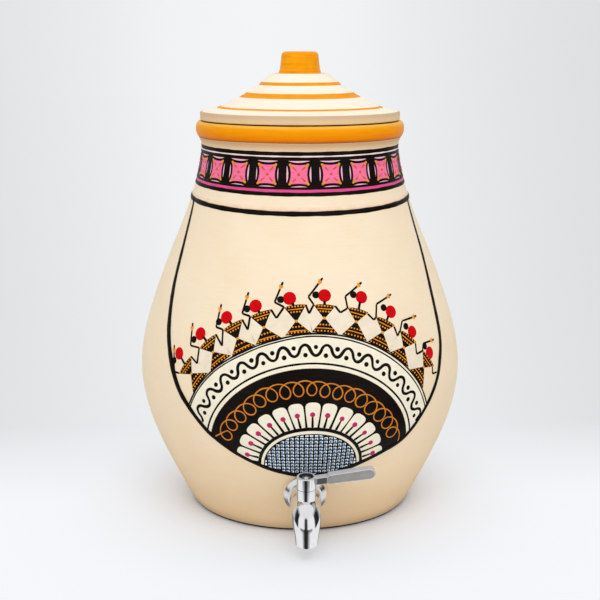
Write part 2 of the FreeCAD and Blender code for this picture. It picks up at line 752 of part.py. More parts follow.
def all_parts():
    """Every piece by name, where it stands on the finished pot."""
    tap_pieces = {
        "tap_body": tap_body(),
        "escutcheon": escutcheon(),
        "outer_gasket": outer_gasket(),
        "inner_gasket": inner_gasket(),
        "inner_washer": inner_washer(),
        "back_nut": back_nut(),
    }
    valve_pieces = {
        "valve_plug": valve_plug(),
        "lower_plug_seal": plug_seal(LOWER_SEAL_HEIGHT),
        "upper_plug_seal": plug_seal(UPPER_SEAL_HEIGHT),
        "thrust_washer": thrust_washer(),
        "gland_nut": gland_nut(),
        "lever": lever(),
        "lock_washer": lock_washer(),
        "lever_screw": lever_screw(),
    }
    pieces = {"pot_body": pot_body(), "lid": lid()}
    for name, shape in tap_pieces.items():
        pieces[name] = on_pot(shape)
    for name, shape in valve_pieces.items():
        pieces[name] = on_pot(in_valve(shape))
    return pieces


def main():
    os.makedirs("parts", exist_ok=True)
    for name, shape in all_parts().items():
        shape.exportStep("parts/" + name + ".step")
        print(name, len(shape.Solids), round(shape.Volume), shape.isValid())
    valve = tap_placement().multiply(valve_placement())
    print("valve axis through", valve.Base, "along", valve.Rotation.multVec(Vector(0, 0, 1)))


main()
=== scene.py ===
"""The looks of a painted clay water pot with a lid and a chrome tap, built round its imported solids."""

import math
import random

import bpy
import numpy as np
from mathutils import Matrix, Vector
from mathutils.bvhtree import BVHTree

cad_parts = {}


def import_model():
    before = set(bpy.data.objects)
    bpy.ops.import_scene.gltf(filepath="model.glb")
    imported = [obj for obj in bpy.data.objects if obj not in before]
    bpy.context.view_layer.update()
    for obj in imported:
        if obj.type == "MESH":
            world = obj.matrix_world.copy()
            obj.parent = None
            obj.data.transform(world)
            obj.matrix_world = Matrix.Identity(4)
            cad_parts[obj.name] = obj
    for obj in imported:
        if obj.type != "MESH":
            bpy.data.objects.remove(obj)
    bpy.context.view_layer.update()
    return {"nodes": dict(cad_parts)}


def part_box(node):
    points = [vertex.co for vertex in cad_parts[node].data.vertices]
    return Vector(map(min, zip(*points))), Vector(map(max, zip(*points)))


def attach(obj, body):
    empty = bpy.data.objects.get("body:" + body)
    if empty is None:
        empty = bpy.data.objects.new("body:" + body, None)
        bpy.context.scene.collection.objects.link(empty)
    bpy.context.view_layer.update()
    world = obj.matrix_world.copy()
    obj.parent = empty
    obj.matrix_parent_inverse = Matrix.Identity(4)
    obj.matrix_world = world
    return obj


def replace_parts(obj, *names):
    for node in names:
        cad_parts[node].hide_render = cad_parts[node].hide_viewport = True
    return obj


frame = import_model()

# Sizes are millimetres and angles degrees, and MM turns a size into metres where a mesh is made.
# Places on the pot are an angle round it, counted from the tap's side towards the lever's, and a
# height. Painting is laid out flat: across is the angle times the belly's radius, up is measured
# along the wall.
MM = 0.001
SEED = 7
rng = random.Random(SEED)

POT_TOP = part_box("pot_body")[1].z / MM
BELLY_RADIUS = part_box("pot_body")[1].x / MM
LID_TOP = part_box("lid")[1].z / MM
LID_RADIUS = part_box("lid")[1].x / MM

# ---- camera
CAMERA_DISTANCE = 1101.5
CAMERA_HEIGHT = 422.5
CAMERA_AZIMUTH = 2.0
CAMERA_PITCH = 12.04
CAMERA_LENS = 72.0
CAMERA_SENSOR = 36.0
CAMERA_SHIFT = 0.0001

# ---- clay walls
CORE_DEPTH = 0.5
SLIP_DEPTH = 0.16
SLIP_EDGE = 0.75
WALL_STEP = 1.3
WALL_COLUMNS = 360
FOOT_EDGE = 0.15
FOOT_CORNER = 7.0
ROLL_UNDERSIDE = POT_TOP - 13.4
ROLL_MIDDLE = (82.0, POT_TOP - 6.7)
ROLL_REACH = 40.0
LID_MIDDLE = (0.0, POT_TOP - 25)
LID_REACH = 150.0
LID_GAP = 0.3
LID_GAP_DEPTH = 3.0
LID_GAP_REACH = 6.0
LID_GAP_TOP = POT_TOP + LID_GAP + 0.85
LID_GAP_SHADE = POT_TOP + LID_GAP + 1.45
BRIM_TOP = POT_TOP + 8.4
TAP_PATCH_HALF_ANGLE = 14
TAP_PATCH_LOW = 15.0
TAP_PATCH_HIGH = 75.0
TAP_HOLE_RADIUS = 19.35
TAP_RECESS_SPREAD = 1.19
TAP_PATCH_RINGS = 16

# ---- rings painted round the neck
SHOULDER_RING = 282.9
SHOULDER_RING_WIDTH = 4.0
SHOULDER_SAG = 5.8
SHOULDER_RIDGE = 0.75
SHOULDER_RIDGE_WIDTH = 2.6
NECK_PANELS = 21
NECK_FIRST_PANEL = -2.5

# ---- the fan on the front
FAN_ANGLE = 1.85
FAN_HEIGHT = 70.4
FAN_SPREAD = 0.20
FAN_SPREAD_RADIUS = 39.0
FAN_SPREAD_FALL = 1.6
FEET_LINE = 121.4
WAVE_RADIUS = 107.4
WAVE_HEIGHT = 4.5
WAVE_ROUNDNESS = 0.68
WAVE_PITCH = 10.15
LOOP_RADIUS = 78.6
PETAL_TIP = 63.8
PETAL_PITCH = 13.9
GROUND_RADIUS = 92.3
INNER_LINE = 96.3
HUB_RING_RADIUS = 38.3
HUB_RADIUS = 35.4


# ---- outlines of the turned pieces


def solid_tree(node):
    mesh = frame["nodes"][node].data
    corners = [v.co.copy() for v in mesh.vertices]
    return BVHTree.FromPolygons(corners, [tuple(p.vertices) for p in mesh.polygons])


def first_hit(tree, start, direction):
    """Where a ray in the half plane behind the pot first meets the solid, as radius and height."""
    origin = Vector((0, start[0], start[1])) * MM
    hit = tree.ray_cast(origin, Vector((0, direction[0], direction[1])))[0]
    return None if hit is None else (hit.y / MM, hit.z / MM)


def softened(values, reach):
    """A list of numbers smoothed over so many neighbours, its ends kept."""
    span = np.arange(-3 * reach, 3 * reach + 1)
    weights = np.exp(-0.5 * (span / reach) ** 2)
    padded = np.pad(values, len(span) // 2, mode="reflect", reflect_type="odd")
    return np.convolve(padded, weights / weights.sum(), mode="valid")


class Outline:
    """The outline of a turned wall: radius, height and outward direction by the distance along it."""

    def __init__(self, points, step, softness):
        points = np.array(points)
        run = np.concatenate([[0], np.cumsum(np.hypot(*np.diff(points, axis=0).T))])
        count = int(run[-1] / step) + 1
        self.s = np.linspace(0, run[-1], count)
        self.r = softened(np.interp(self.s, run, points[:, 0]), softness)
        self.z = softened(np.interp(self.s, run, points[:, 1]), softness)
        across, up = np.gradient(self.r, self.s), np.gradient(self.z, self.s)
        length = np.hypot(across, up)
        self.nr, self.nz = up / length, -across / length

    def along(self, height):
        """The distance along the wall at which it first reaches a height."""
        after = max(int(np.argmax(self.z >= height)), 1)
        before = after - 1
        share = (height - self.z[before]) / (self.z[after] - self.z[before])
        return float(self.s[before] + share * (self.s[after] - self.s[before]))

    def radius(self, s):
        return np.interp(s, self.s, self.r)

    def place(self, across, s, lift):
        """Points above the wall by the lift, in millimetres."""
        across, s, lift = np.broadcast_arrays(across, s, lift)
        angle = across / BELLY_RADIUS
        nr, nz = np.interp(s, self.s, self.nr), np.interp(s, self.s, self.nz)
        r = self.radius(s) + nr * lift
        z = np.interp(s, self.s, self.z) + nz * lift
        return np.stack([r * np.sin(angle), -r * np.cos(angle), z], axis=-1)


def rays_inwards(tree, middle, reach, angles):
    """Where rays that come in towards a middle, from each angle, first meet the solid."""
    hits = []
    for angle in angles:
        way = (math.cos(math.radians(angle)), math.sin(math.radians(angle)))
        start = (middle[0] + reach * way[0], middle[1] + reach * way[1])
        hits.append(first_hit(tree, start, (-way[0], -way[1])))
    return [hit for hit in hits if hit is not None]


def pot_outline():
    """From the foot up the wall, over the rolled rim and down to the mouth's edge."""
    tree = solid_tree("pot_body")
    far = 2 * BELLY_RADIUS
    wall = [first_hit(tree, (far, z), (-1, 0)) for z in np.arange(FOOT_EDGE, ROLL_UNDERSIDE, 0.5)]
    wall_r = softened(np.array([p[0] for p in wall]), 6)
    wall = [p if p[1] < FOOT_CORNER else (r, p[1]) for r, p in zip(wall_r, wall)]
    roll = rays_inwards(tree, ROLL_MIDDLE, ROLL_REACH, np.arange(-43, 90.5, 1.0))
    return Outline(wall + [p for p in roll if p[1] > wall[-1][1]], 0.25, 3)


def lid_outline():
    """From the brim's lower edge, over the cone, to the middle of the knob."""
    hits = rays_inwards(solid_tree("lid"), LID_MIDDLE, LID_REACH, np.arange(15.6, 90.01, 0.08))
    return Outline([(max(r, 0.0), z) for r, z in hits], 0.2, 3)


def waves_of(count, lowest, highest, size):
    """Slow random waves that make a turned wall slightly uneven, as a hand leaves it."""
    waves = []
    for _ in range(count):
        turns = rng.randint(0, 5)
        pitch = rng.uniform(lowest, highest)
        waves.append((turns, 2 * math.pi / pitch, rng.uniform(0, 2 * math.pi), size * rng.uniform(0.4, 1)))
    return waves


def relief(waves, across, s):
    angle = across / BELLY_RADIUS
    total = np.zeros(np.broadcast(across, s).shape)
    for turns, rate, phase, size in waves:
        total = total + size * np.sin(turns * angle + rate * s + phase)
    return total


POT = pot_outline()
LID = lid_outline()
RING_STEEPNESS = float(np.interp(POT.along(SHOULDER_RING + 3), POT.s, POT.nr))
POT_WAVES = waves_of(9, 28, 120, 0.028) + waves_of(3, 6, 11, 0.012)
LID_WAVES = waves_of(6, 20, 60, 0.02)


def settled(angle):
    """How far a hand-painted ring has risen by an angle from the front, levelling out behind."""
    rise = 1 - np.cos(angle)
    return rise / (1 + (rise / 1.3) ** 4) ** 0.25


def pot_skin(across, s, lift):
    """The slip's surface on the pot, with the ridge under the shoulder ring."""
    rise = SHOULDER_SAG * settled(across / BELLY_RADIUS)
    ring = POT.along(SHOULDER_RING) + rise / RING_STEEPNESS
    ridge = SHOULDER_RIDGE * np.exp(-(((s - ring) / SHOULDER_RIDGE_WIDTH) ** 2))
    return POT.place(across, s, lift - SLIP_DEPTH + relief(POT_WAVES, across, s) + ridge)


def lid_skin(across, s, lift):
    return LID.place(across, s, lift - SLIP_DEPTH + relief(LID_WAVES, across, s))


# ---- meshes


def mesh_object(name, points, faces, material, body):
    """A smooth mesh that rides on a body, from points in millimetres."""
    mesh = bpy.data.meshes.new(name)
    mesh.from_pydata((np.asarray(points, float).reshape(-1, 3) * MM).tolist(), [], faces)
    mesh.validate()
    piece = bpy.data.objects.new(name, mesh)
    bpy.context.scene.collection.objects.link(piece)
    mesh.materials.append(material)
    mesh.polygons.foreach_set("use_smooth", [True] * len(mesh.polygons))
    mesh.update()
    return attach(piece, body)


def grid_faces(rows, columns, start=0, closed=False):
    """The faces between rows of points, closed where the rows go all round."""
    faces = []
    last = columns if closed else columns - 1
    for row in range(rows - 1):
        for column in range(last):
            a = start + row * columns + column
            b = start + row * columns + (column + 1) % columns
            faces.append((a, b, b + columns, a + columns))
    return faces


def coat_points(skin, rows, low_edge, high_edge):
    """Rows of points all round on a skin, the first and last row sunk into the clay."""
    across = np.radians(np.arange(WALL_COLUMNS) * 360 / WALL_COLUMNS) * BELLY_RADIUS
    lifts = np.zeros(len(rows))
    lifts[0], lifts[-1] = -low_edge, -high_edge
    return skin(across[None, :], np.array(rows)[:, None], lifts[:, None])


def turned_coat(name, skin, rows, material, body, low_edge, high_edge=SLIP_EDGE):
    """A thin coat all round."""
    points = coat_points(skin, rows, low_edge, high_edge)
    faces = grid_faces(len(rows), WALL_COLUMNS, closed=True)
    return mesh_object(name, points, faces, material, body)


# ---- painted shapes


# A film's cross sections, as pairs of (share of its half width, share of its thickness): across a
# brush line, and from a blob's edge inwards.
STROKE_SECTION = ((-1.1, -0.4), (-0.9, 0.7), (0, 1), (0.9, 0.7), (1.1, -0.4))
SPOT_SECTION = ((1.08, -0.4), (0.92, 0.6), (0.5, 0.95))


def squeeze(s):
    """How much narrower the real wall is than the flat layout."""
    return POT.radius(s) / BELLY_RADIUS


class Paint:
    """Painted shapes of one colour: flat shapes that are laid on the pot as a thin raised film."""

    def __init__(self, thickness, base):
        self.thickness, self.base = thickness, base
        self.flat, self.faces = [], []

    def add(self, points, faces):
        start = len(self.flat)
        self.flat.extend(points)
        self.faces.extend(tuple(start + i for i in face) for face in faces)

    def stroke(self, line, width, step=1.2, uneven=0.05):
        """A brush line of that real width through flat points, round at its ends."""
        line = np.array(line, float)
        widths = list(width) if isinstance(width, (list, tuple)) else [width, width]
        g = squeeze(line[:, 1])
        steps = np.hypot(np.diff(line[:, 0]) * g[1:], np.diff(line[:, 1]))
        run = np.concatenate([[0], np.cumsum(steps)])
        half = min(widths[0] / 2, run[-1] * 0.4)
        ends = [half * share for share in (0.0, 0.15, 0.45)]
        inner = np.linspace(half, run[-1] - half, max(2, int(run[-1] / step) + 1))
        marks = np.array(ends + list(inner) + [run[-1] - end for end in reversed(ends)])
        u, s = np.interp(marks, run, line[:, 0]), np.interp(marks, run, line[:, 1])
        g = squeeze(s)
        du, ds = np.gradient(u) * g, np.gradient(s)
        length = np.maximum(np.hypot(du, ds), 1e-9)
        nu, ns = -ds / length / g, du / length
        halves = np.interp(marks, np.linspace(0, run[-1], len(widths)), widths) / 2
        phase = rng.uniform(0, 2 * math.pi)
        halves *= 1 + uneven * np.sin(marks / 5.3 + phase) + 0.6 * uneven * np.sin(marks / 2.1 + 2 * phase)
        away = np.minimum(marks, run[-1] - marks)
        halves *= np.sqrt(np.clip(1 - (1 - np.minimum(away / half, 1)) ** 2, 0.03, 1))
        points = []
        for i in range(len(marks)):
            for side, lift in STROKE_SECTION:
                points.append((u[i] + nu[i] * halves[i] * side, s[i] + ns[i] * halves[i] * side, lift))
        self.add(points, grid_faces(len(marks), len(STROKE_SECTION)))

    def spot(self, u, s, radius):
        """A round blob of that real radius."""
        g = float(squeeze(s))
        count = 14 if radius > 1.2 else 10
        points = []
        for share, lift in SPOT_SECTION:
            for k in range(count):
                angle = 2 * math.pi * k / count
                x, y = radius * share * math.cos(angle), radius * share * math.sin(angle)
                points.append((u + x / g, s + y, lift))
        points.append((u, s, 1.0))
        faces = grid_faces(3, count, closed=True)
        faces += [(2 * count + k, 2 * count + (k + 1) % count, 3 * count) for k in range(count)]
        self.add(points, faces)

    def fill(self, edge, middle=None, step=1.6, rings=(1, 0.93, 0.62, 0.3)):
        """A filled shape whose whole edge can be seen from its middle."""
        edge = np.array(edge, float)
        closed = np.vstack([edge, edge[:1]])
        run = np.concatenate([[0], np.cumsum(np.hypot(*np.diff(closed, axis=0).T))])
        marks = []
        for a, b in zip(run, run[1:]):
            marks.extend(np.linspace(a, b, max(2, int((b - a) / step) + 2))[:-1])
        u, s = np.interp(marks, run, closed[:, 0]), np.interp(marks, run, closed[:, 1])
        mu, ms = middle if middle is not None else (u.mean(), s.mean())
        lifts = (-0.4, 0.9) + (1.0,) * (len(rings) - 2)
        count = len(marks)
        points = []
        for share, lift in zip(rings, lifts):
            for k in range(count):
                points.append((mu + (u[k] - mu) * share, ms + (s[k] - ms) * share, lift))
        points.append((mu, ms, 1.0))
        last = (len(rings) - 1) * count
        faces = grid_faces(len(rings), count, closed=True)
        faces += [(last + k, last + (k + 1) % count, len(rings) * count) for k in range(count)]
        self.add(points, faces)

    def sheet(self, rows):
        """A filled area given as rows of flat points, each row as long as the others."""
        rows = np.array(rows, float)
        count, wide = rows.shape[:2]
        points = []
        for i in range(count):
            for j in range(wide):
                edge = i in (0, count - 1) or j in (0, wide - 1)
                points.append((rows[i, j, 0], rows[i, j, 1], -0.4 if edge else 1.0))
        self.add(points, grid_faces(count, wide))

    def finish(self, name, material):
        flat = np.array(self.flat)
        points = pot_skin(flat[:, 0], flat[:, 1], self.base + self.thickness * flat[:, 2])
        mesh_object(name, points, self.faces, material, "pot")


def at(angle, height):
    """The flat place of an angle and a height on the pot."""
    return (math.radians(angle) * BELLY_RADIUS, POT.along(height))


def smooth_line(points, step=1.5):
    """A smooth line through flat points, by Catmull and Rom's rule."""
    p = np.array(points, float)
    p = np.vstack([2 * p[0] - p[1], p, 2 * p[-1] - p[-2]])
    line = []
    for a, b, c, d in zip(p, p[1:], p[2:], p[3:]):
        count = max(2, int(np.hypot(*(c - b)) / step))
        for t in np.arange(count) / count:
            place = 2 * b + (c - a) * t
            place = place + (2 * a - 5 * b + 4 * c - d) * t**2
            place = place + (3 * b - a - 3 * c + d) * t**3
            line.append(0.5 * place)
    line.append(p[-2])
    return np.array(line)


# ---- materials


def linear(red, green, blue):
    """A display colour, 0 to 255, as the linear colour that Blender's sockets take."""
    levels = []
    for level in (red / 255, green / 255, blue / 255):
        levels.append(level / 12.92 if level <= 0.04045 else ((level + 0.055) / 1.055) ** 2.4)
    return (*levels, 1.0)


def grey(level):
    return (level, level, level, 1)


class Nodes:
    """Short calls that add nodes to a tree and join them."""

    def __init__(self, tree):
        self.tree = tree

    def feed(self, node, values):
        """Gives a node's inputs their values, or links them to the sockets given."""
        for place, value in values.items():
            if isinstance(value, bpy.types.NodeSocket):
                self.tree.links.new(value, node.inputs[place])
            else:
                node.inputs[place].default_value = value
        return node

    def add(self, kind, values):
        return self.feed(self.tree.nodes.new("ShaderNode" + kind), values)

    def do(self, operation, first, second=0.0, clamp=False):
        """A number worked out from one or two others."""
        node = self.add("Math", {0: first, 1: second})
        node.operation = operation
        node.use_clamp = clamp
        return node.outputs[0]

    def share(self, value, start, end):
        """How far a value has come from a start to an end, from 0 to 1."""
        return self.do("DIVIDE", self.do("SUBTRACT", value, start), end - start, True)

    def vector(self, operation, first, second=(0, 0, 0)):
        """A vector, a length or a product worked out from one or two vectors."""
        node = self.add("VectorMath", {0: first, 1: second})
        node.operation = operation
        return node.outputs["Value" if operation in ("LENGTH", "DOT_PRODUCT") else "Vector"]

    def parts(self, vector):
        """A vector's three numbers, by the names X, Y and Z."""
        return self.add("SeparateXYZ", {0: vector}).outputs

    def ramp(self, value, stops):
        """A colour by a value, through stops of (value, colour)."""
        node = self.add("ValToRGB", {"Fac": value})
        elements = node.color_ramp.elements
        while len(elements) < len(stops):
            elements.new(0.5)
        for element, (position, colour) in zip(elements, stops):
            element.position = position
            element.color = colour
        return node.outputs["Color"]

    def levels(self, value, stops, top):
        """A grey by a value, through stops of (value, grey) below a top value."""
        stops = [(position / top, grey(level)) for position, level in stops]
        return self.ramp(self.do("DIVIDE", value, top), stops)

    def mixed(self, factor, first, second, blend="MIX"):
        """Two colours or greys joined by a factor."""
        node = self.tree.nodes.new("ShaderNodeMix")
        node.data_type = "RGBA"
        node.blend_type = blend
        self.feed(node, {0: factor, 6: first, 7: second})
        return node.outputs[2]

    def glow(self, kind, colour):
        """An emission or a background of full strength."""
        return self.add(kind, {"Color": colour, "Strength": 1.0}).outputs[0]

    def shaders(self, factor, first, second):
        """Two shaders joined by a factor."""
        return self.add("MixShader", {0: factor, 1: first, 2: second}).outputs[0]

    def light_path(self):
        """Whether a ray comes from the camera or through glass, and whether it comes from a mirror."""
        path = self.tree.nodes.new("ShaderNodeLightPath").outputs
        seen = self.do("ADD", path["Is Camera Ray"], path["Is Transmission Ray"], True)
        return seen, path["Is Glossy Ray"]

    def backdrop(self, vector, away):
        """The backdrop's colour by the degrees either side of its middle, seen from that far in front."""
        parts = self.parts(vector)
        ahead = self.do("ADD", parts["Y"], away)
        angle = self.do("ARCTAN2", self.do("ABSOLUTE", parts["X"]), ahead)
        level = self.levels(self.do("MULTIPLY", angle, 180 / math.pi), BACKDROP, 180)
        return self.mixed(1.0, level, (*BACKDROP_TINT, 1), "MULTIPLY")

    def front_angle(self, vector, forward):
        """Degrees either side of the room's front, seen from above and from that far in front."""
        parts = self.parts(vector)
        ahead = self.do("SUBTRACT", -forward, parts["Y"])
        angle = self.do("MULTIPLY", self.do("ARCTAN2", parts["X"], ahead), 180 / math.pi)
        turn = self.do("MULTIPLY", self.do("COSINE", self.do("RADIANS", angle)), ROOM_TURN)
        return self.do("ABSOLUTE", self.do("ADD", angle, turn))


class Surface(Nodes):
    """A material, its shader and the nodes that feed it."""

    def __init__(self, name, roughness, metallic=0.0, specular=0.5):
        self.material = bpy.data.materials.new(name)
        self.material.use_nodes = True
        super().__init__(self.material.node_tree)
        self.shader = self.tree.nodes["Principled BSDF"]
        self.feed(self.shader, {"Roughness": roughness, "Metallic": metallic, "Specular IOR Level": specular})
        self.place = self.tree.nodes.new("ShaderNodeTexCoord").outputs["Object"]

    def noise(self, size, stretch=(1, 1, 1), detail=4.0, roughness=0.55):
        """Noise whose grains are about that many millimetres across, along each axis by the stretch."""
        scale = tuple(1 / (size * MM * axis) for axis in stretch)
        mapping = self.add("Mapping", {"Vector": self.place, "Scale": scale})
        values = {"Vector": mapping.outputs["Vector"], "Scale": 1.0, "Detail": detail, "Roughness": roughness}
        return self.add("TexNoise", values).outputs["Fac"]

    def bump(self, heights, strength):
        """Small relief: pairs of (value, depth in millimetres), one on top of the other."""
        below = {}
        for value, depth in heights:
            bump = self.add("Bump", {"Strength": strength, "Distance": depth * MM, "Height": value, **below})
            below = {"Normal": bump.outputs["Normal"]}
        self.feed(self.shader, below)

    def colour(self, socket):
        self.feed(self.shader, {"Base Color": socket})

    def rough(self, value, low, high):
        """Roughness that wanders between two levels."""
        limits = {"Value": value, "From Min": 0.3, "From Max": 0.7, "To Min": low, "To Max": high}
        self.feed(self.shader, {"Roughness": self.add("MapRange", limits).outputs["Result"]})


# The valve's place and directions in metres, and the lever's parts by the distance from its axis.
VALVE_PLACE = (0.0, -0.14974, 0.03815)
VALVE_AXIS = (0.0, -0.0872, 0.9962)
LEVER_FRONT = (0.0, 0.9962, 0.0872)
POLISHED_RADIUS = 9.6
SHANK_END = 17.4
PANEL_PLACE = 3.4
PANEL_HALF_DEPTH = 0.25
DISH_RADIUS = 6.15
LEVER_SATIN = [(0.3, (0.8, 0.79, 0.77, 1)), (0.75, (0.68, 0.67, 0.65, 1))]
LEVER_PANEL = [(0.3, (0.5, 0.49, 0.46, 1)), (0.75, (0.42, 0.41, 0.385, 1))]
# Painted shade on the blade's shank and in the cap's dish, and a painted highlight on the lever's upward
# faces.
LEVER_SHADE = (104, 104, 106)
LEVER_TOP_HIGHLIGHT = (206, 205, 204)
# How far marks are drawn out along each axis, by the potter's wheel and by a brush.
WHEEL = (14, 14, 0.5)
BRUSHED = (9, 9, 0.35)

# Painted shade on the slip by its height in metres: darker and warmer towards the foot, and in a band under
# the rolled rim, where shade and the roll's orange reflection are painted.
SLIP_SHADE = [(0.0025, (0.66, 0.57, 0.46)), (0.005, (0.8, 0.68, 0.54)), (0.012, (0.93, 0.81, 0.67))]
SLIP_SHADE += [(0.06, (1, 0.94, 0.85)), (0.13, (1, 0.975, 0.945)), (0.19, (1, 1, 1)), (0.331, (1, 1, 1))]
SLIP_SHADE += [(0.3365, (0.865, 0.695, 0.535)), (0.3415, (0.63, 0.42, 0.24)), (0.3425, (1, 1, 1))]
# Painted shade on the lid's brim, which faces sideways, by its height: darkest along its upper edge.
BRIM_SHADE = [(0.355, (0.9, 0.75, 0.55)), (0.3568, (0.89, 0.73, 0.52)), (0.36, (0.81, 0.64, 0.465))]
BRIM_SHADE += [(0.3618, (0.765, 0.605, 0.435)), (0.3624, (0.69, 0.54, 0.375)), (0.3634, (0.66, 0.51, 0.35))]
# The roll's orange by its height in metres: a painted highlight along its top and painted shade along its
# lower edge.
RIM_LIGHT_AND_SHADE = [(0.3418, (176, 82, 6)), (0.3424, (198, 92, 2)), (0.3432, (238, 122, 0)), (0.344, (254, 145, 0))]
RIM_LIGHT_AND_SHADE += [(0.3455, (250, 149, 0)), (0.3489, (249, 153, 0)), (0.3515, (250, 160, 2))]
RIM_LIGHT_AND_SHADE += [(0.3532, (255, 182, 36)), (0.3545, (255, 204, 80)), (0.355, (250, 200, 88))]


def slip_material(name, pale, deep, speck, height_shades=SLIP_SHADE):
    """Matt slip over clay: cloudy, streaked round by the wheel, with a few dark grains, and with painted
    shade by its height.
    """
    surface = Surface(name, 0.55, specular=0.25)
    clouds = surface.noise(46, detail=3)
    streaks = surface.noise(1.7, WHEEL, detail=5, roughness=0.7)
    grain = surface.noise(0.55, detail=6, roughness=0.75)
    base = surface.ramp(clouds, [(0.3, linear(*pale)), (0.75, linear(*deep))])
    shade = surface.ramp(streaks, [(0.35, linear(249, 246, 241)), (0.62, grey(1))])
    base = surface.mixed(0.4, base, shade, "MULTIPLY")
    height = surface.parts(surface.place)["Z"]
    base = surface.mixed(1.0, base, surface.ramp(height, [(z, (*tint, 1)) for z, tint in height_shades]), "MULTIPLY")
    flecks = surface.ramp(surface.noise(1.1, detail=2), [(0.735, grey(0)), (0.775, grey(1))])
    surface.colour(surface.mixed(flecks, base, linear(*speck)))
    surface.rough(streaks, 0.46, 0.64)
    surface.bump([(streaks, 0.025), (grain, 0.015), (surface.noise(9, detail=2), 0.06)], 0.5)
    return surface.material


def paint_material(name, main, thin, roughness=0.38, size=2.6, specular=0.2):
    """Brushed paint: a little thinner and darker along the brush marks."""
    surface = Surface(name, roughness, specular=specular)
    marks = surface.noise(size, BRUSHED, detail=5, roughness=0.65)
    blots = surface.noise(size * 3, detail=2)
    base = surface.ramp(marks, [(0.34, linear(*thin)), (0.56, linear(*main))])
    patchy = surface.ramp(blots, [(0.3, linear(236, 236, 236)), (0.6, grey(1))])
    surface.colour(surface.mixed(0.5, base, patchy, "MULTIPLY"))
    surface.rough(marks, roughness - 0.08, roughness + 0.12)
    surface.bump([(marks, 0.03), (surface.noise(0.5, detail=3), 0.01)], 0.5)
    return surface.material


def rim_lit_paint_material():
    """The roll's brushed orange, with a painted highlight along its top and painted shade along its lower
    edge.
    """
    surface = Surface("rim_orange_lit_and_shaded_paint", 0.32, specular=0.05)
    marks = surface.noise(2.6, BRUSHED, detail=5, roughness=0.65)
    shade = surface.ramp(marks, [(0.34, linear(244, 236, 226)), (0.56, grey(1))])
    height = surface.parts(surface.place)["Z"]
    base = surface.ramp(height, [(z, linear(*colour)) for z, colour in RIM_LIGHT_AND_SHADE])
    surface.colour(surface.mixed(0.8, base, shade, "MULTIPLY"))
    surface.rough(marks, 0.26, 0.44)
    surface.bump([(marks, 0.03), (surface.noise(0.5, detail=3), 0.01)], 0.5)
    return surface.material


def raw_clay_material():
    """Unpainted fired clay, inside and underneath."""
    surface = Surface("raw_clay", 0.85, specular=0.2)
    clouds = surface.noise(34, detail=4)
    rings = surface.noise(2.4, WHEEL, detail=4, roughness=0.7)
    grain = surface.noise(0.8, detail=6, roughness=0.8)
    base = surface.ramp(clouds, [(0.3, linear(184, 112, 78)), (0.7, linear(160, 90, 62))])
    shade = surface.ramp(grain, [(0.35, linear(200, 190, 184)), (0.6, grey(1))])
    surface.colour(surface.mixed(0.7, base, shade, "MULTIPLY"))
    surface.bump([(rings, 0.25), (grain, 0.08)], 0.6)
    return surface.material


def metal_material(name, bright, dull, roughness, stretch=(1, 1, 1), size=1.2, depth=0.004):
    """Metal with a trace of wear: its colour and gloss wander a little."""
    surface = Surface(name, roughness, metallic=1.0)
    marks = surface.noise(size, stretch, detail=6, roughness=0.7)
    clouds = surface.noise(9, detail=2)
    surface.colour(surface.ramp(clouds, [(0.3, linear(*bright)), (0.75, linear(*dull))]))
    surface.rough(marks, roughness * 0.7, roughness * 1.5)
    surface.bump([(marks, depth)], 0.3)
    return surface.material


def soft_material(name, main, other, roughness, specular=0.4):
    """Rubber, plastic or dull clay, with a fine grain."""
    surface = Surface(name, roughness, specular=specular)
    grain = surface.noise(3, detail=4)
    surface.colour(surface.ramp(grain, [(0.35, linear(*main)), (0.7, linear(*other))]))
    surface.bump([(surface.noise(0.3, detail=3), 0.01)], 0.5)
    return surface.material


CREAM = slip_material("cream_slip", (253, 234, 204), (250, 228, 194), (206, 164, 118))
# The lid's slip is a lighter copy of the pot's cream: painted light on the lid's upward faces. The brim's
# copy adds painted shade.
LIT_LID_SLIP = ((253, 244, 227), (251, 238, 216), (208, 170, 126))
LIT_LID_CREAM = slip_material("lid_lit_cream_slip", *LIT_LID_SLIP)
SHADED_BRIM_CREAM = slip_material("brim_shaded_slip", *LIT_LID_SLIP, BRIM_SHADE)
RAW = raw_clay_material()
# A dark clay colour used as painted shade: in the gap under the lid's brim and at the foot where it meets the
# floor.
SHADE_DARK_CLAY = soft_material("shade_dark_clay", (62, 38, 22), (44, 26, 15), 0.9, 0.05)
PALE = paint_material("pale_paint", (248, 233, 207), (244, 226, 198), 0.5)
BRIGHT = paint_material("bright_pale_paint", (254, 244, 220), (250, 238, 212), 0.5)
ORANGE = paint_material("orange_paint", (254, 170, 6), (244, 144, 0), 0.32, specular=0.1)
LINE_ORANGE = paint_material("bright_orange_paint", (247, 158, 28), (236, 136, 16), 0.4, 1.4)
DULL_ORANGE = paint_material("dull_orange_paint", (222, 134, 32), (196, 108, 24), 0.4, 1.2)
RIM_LIT_ORANGE = rim_lit_paint_material()
BAND_ORANGE = paint_material("lid_orange_paint", (250, 164, 24), (242, 148, 12), 0.5, specular=0.04)
BLUSH = paint_material("blush_paint", (254, 226, 214), (250, 238, 222), 0.5, 5.0)
BLACK = paint_material("black_paint", (14, 9, 7), (29, 21, 17), 0.4, 1.8, 0.07)
HOT_PINK = paint_material("pink_paint", (255, 124, 160), (250, 104, 148), 0.42)
RUST = paint_material("rust_paint", (224, 92, 28), (204, 74, 20), 0.4, 1.2)
STRIPE_PINK = paint_material("deep_pink_paint", (236, 84, 144), (222, 66, 130), 0.42)
PALE_PINK = paint_material("pale_pink_paint", (252, 200, 214), (246, 172, 202), 0.45, 4.0)
RED = paint_material("red_paint", (217, 4, 14), (202, 2, 10), 0.36, 1.6, 0.05)
